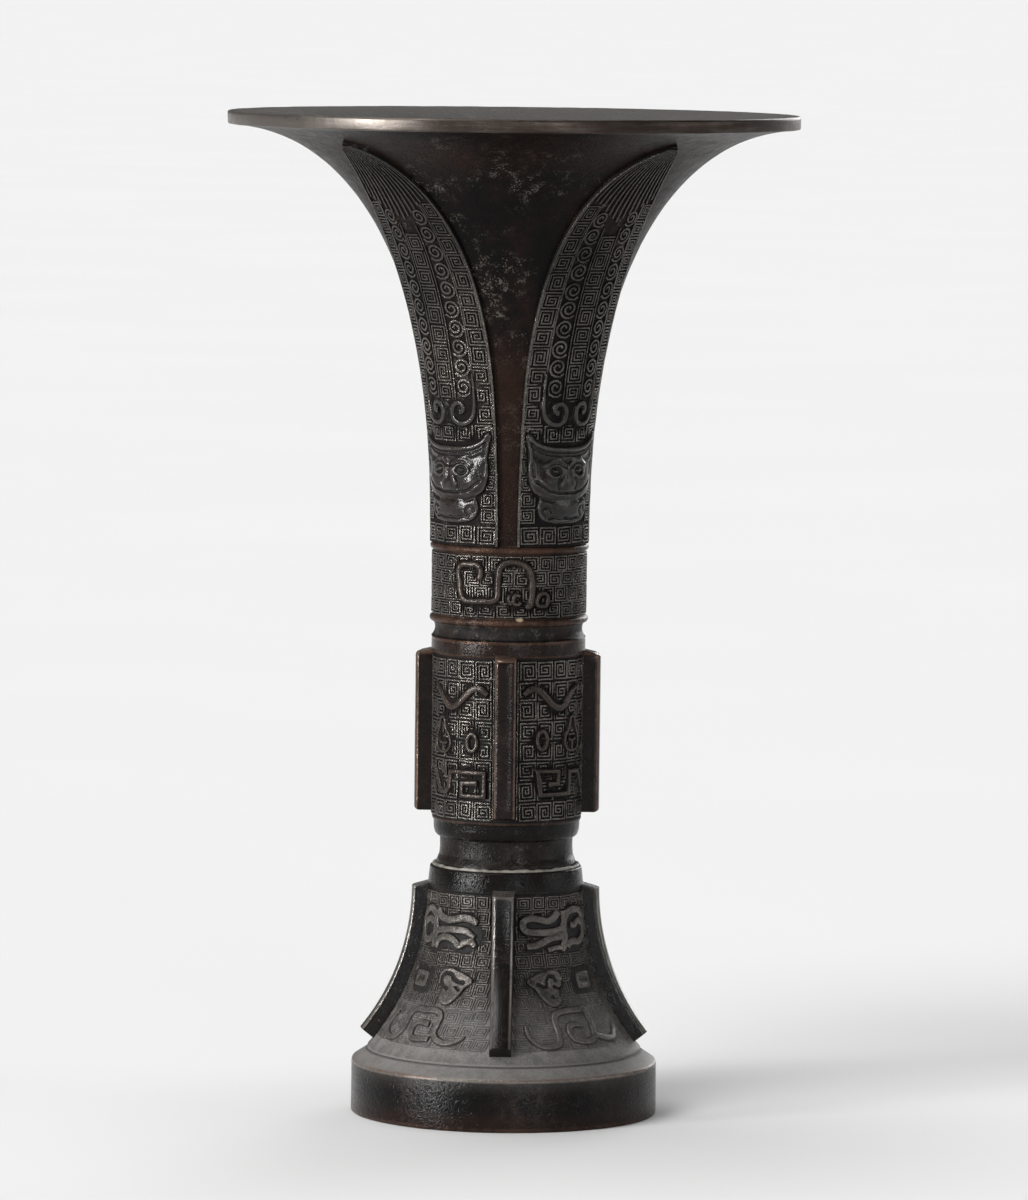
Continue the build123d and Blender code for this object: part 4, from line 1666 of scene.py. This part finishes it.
# %% Foot motifs
foot_right = melted(
    "foot_right",
    ground(right_ground),
    stroke([(-1.0, 46.9), (-2.8, 45.2), (-4.6, 44.3), (-7.6, 44.9), (-10.6, 45.3), (-12.6, 44.4),
            (-13, 43), (-12, 41.6), (-9.5, 41.1), (-5, 41.0), (-1.5, 41.4), (0.3, 42)], 2.4, 1.05),
    stroke([(-12.5, 36.9), (-10, 37.1), (-7.6, 37.8), (-5, 38.9), (-2.4, 39.3),
            (0.2, 39.6)], 2.4, 1.05),
    stroke([(-5.8, 35.7), (-2.6, 36.2), (0.1, 36.0)], 1.7, 0.95),
    stroke([(0.9, 47.2), (1.1, 44.5), (0.6, 42), (0.9, 39.5), (0.2, 36.5),
            (-0.5, 34.8, 0.6)], 2.6, 1.05),
    stroke([(1.6, 45.2), (3, 46.6), (6, 47), (9, 46.4), (10.4, 44.2), (10.6, 41.5), (9.6, 38.8),
            (6.5, 37.3), (3.6, 37.6), (1.4, 36.4)], 2.5, 1.05),
    stroke([(9.6, 42.9), (7.4, 43.5), (5.4, 42.4), (3.6, 42.7, 0.8)], 2.4, 1.05),
    plate(heart, 0.8),
    ringed_pad(6.2, 25.7),
    stroke([(-19.2, 12.6, 0.6), (-19.3, 9.4), (-18.4, 7), (-16.4, 5.6), (-13.6, 5.5), (-11.2, 6.4),
            (-10, 8.6), (-9.6, 12), (-9.3, 14.6), (-8.2, 16.1), (-6, 16.6), (0, 16.8), (2.4, 16.4),
            (3.0, 15), (3.0, 8.4), (2.2, 7.2), (-4.6, 7.2), (-5.5, 8.2), (-5.6, 11.2), (-4.6, 12.1),
            (-0.6, 12.1)], 1.95, 0.75, flat=1.6),
    stroke([(3.2, 8.2), (6, 7.2), (9, 6.5), (11.4, 6.6), (13, 8),
            (14.8, 10.8, 0.5)], 1.95, 0.75, flat=1.6),
)
press(foot_right, right_curl, 0.55, 0.7)
press(foot_right, right_fold, 0.5, 0.7)
press(foot_right, [(-7.7, 21.4), (-7.2, 21.3)], 0.5, 0.5)
press(foot_right, [(5.2, 25.7), (7.2, 25.7)], 1.2, 0.35)
foot_left = melted(
    "foot_left",
    ground(left_ground),
    stroke([(-3.6, 46.8), (-2.6, 45.2), (0, 44.2), (3, 44.3), (6, 45), (8.6, 44.8),
            (11, 43.6, 0.8)], 2.7, 1.05),
    stroke([(-3.4, 40.4), (0, 41.1), (4, 41.3), (7.4, 41.1), (10.7, 39.3, 0.7)], 2.5, 1.05),
    stroke([(-3.0, 35.4), (-2.4, 37.4), (-0.6, 38.6), (2.2, 38.7), (4.4, 37.8), (6, 36.6), (7.6, 37.6),
            (9.8, 37.9), (11.3, 36.5, 0.7)], 2.4, 1.05),
    stroke([(-4.2, 46.6), (-4.4, 43), (-3.8, 40.3, 1.3), (-4.4, 37.6), (-4.7, 35.2, 0.6)], 2.5, 1.05),
    stroke([(-5.0, 45.2), (-6.6, 46.4), (-9, 46.4), (-11.2, 45), (-12.4, 42), (-11.6, 39), (-9.4, 37.2),
            (-6.8, 37.4), (-5.2, 38.8)], 2.5, 1.05),
    stroke([(-10.6, 42.2), (-8.8, 43.2), (-6.7, 43.3), (-6.1, 42.0, 0.8)], 2.4, 1.05),
    plate(flipped(heart, -1.4), 0.8),
    ringed_pad(-7.0, 25.4),
    stroke([(17.2, 8.6, 0.6), (15.4, 7), (13, 6.1), (10.2, 6.3), (7.6, 7.7), (6.6, 9.4), (6.6, 12),
            (6.4, 14.8), (5.2, 15.9), (0, 16), (-3.8, 15.9), (-5.4, 14.8), (-6.3, 11), (-7.2, 7.8),
            (-9, 6.1), (-12.4, 5.6), (-15.2, 6.8), (-16.5, 9.6), (-15.6, 12.4),
            (-13.2, 13.8, 0.6)], 1.95, 0.75, flat=1.6),
    stroke([(5.8, 6.9), (-1.4, 6.9), (-2.1, 7.8), (-2, 11), (-1.2, 11.8),
            (3.6, 11.8)], 1.95, 0.75, flat=1.6),
)
press(foot_left, left_curl, 0.65, 0.75)
press(foot_left, left_fold, 0.45, 0.6)
press(foot_left, [(-8.0, 25.4), (-6.0, 25.4)], 1.2, 0.35)
print("foot motifs have", len(foot_right.data.polygons), "and", len(foot_left.data.polygons), "faces")

# %% [markdown]
# The lines of the foot's thunder pattern grow fainter towards the shelf, where they have worn away,
# and more squares fit in a row as the wall widens.

# %% Foot lines
def worn_rise(along):
    """The height of the foot's fine lines, which wear has lowered towards the shelf."""
    return 0.36 if along > 28 else 0.26 if along > 17 else 0.15


def foot_table(motif):
    """The thunder pattern of a quarter of the foot, flat, with as many squares in a row as fit."""
    made = []
    for row in range(11):
        along = 49.7 - 4.35 * row
        wide = float(foot_wall(along)[0]) * math.pi / 2 - 7.4
        count = round(wide / 4.6)
        for column in range(count):
            unit = square_hands[(row + column) % 2]
            across = (column + 0.5) * wide / count - wide / 2
            turn = 90 * ((row * 3 + column) % 4)
            made.append(stamp(unit, across, along, 0.95 * wide / count, 4.1, turn, worn_rise(along)))
    lines = joined("foot_lines", made)
    sink(lines, motif, 0.25, 0.05)
    return lines


foot_halves = ((foot_right, foot_table(foot_right)), (foot_left, foot_table(foot_left)))
for number, angle in enumerate(QUARTERS, 1):
    motif, lines = foot_halves[number % 2]
    placed(motif, "foot_motif_%d" % number, foot_relief_finish, foot_wall, angle, even=0.66)
    placed_lines(lines, "foot_lines_%d" % number, foot_line_finish, foot_wall, angle, top=0.28)
cleared(*foot_halves[0], *foot_halves[1])


# %% [markdown]
# ## Finish
# The stamping units have done their work and go. The beaker must not have grown.

# %% Finish the scene
cleared(straight_line, *square_hands, *round_hands)
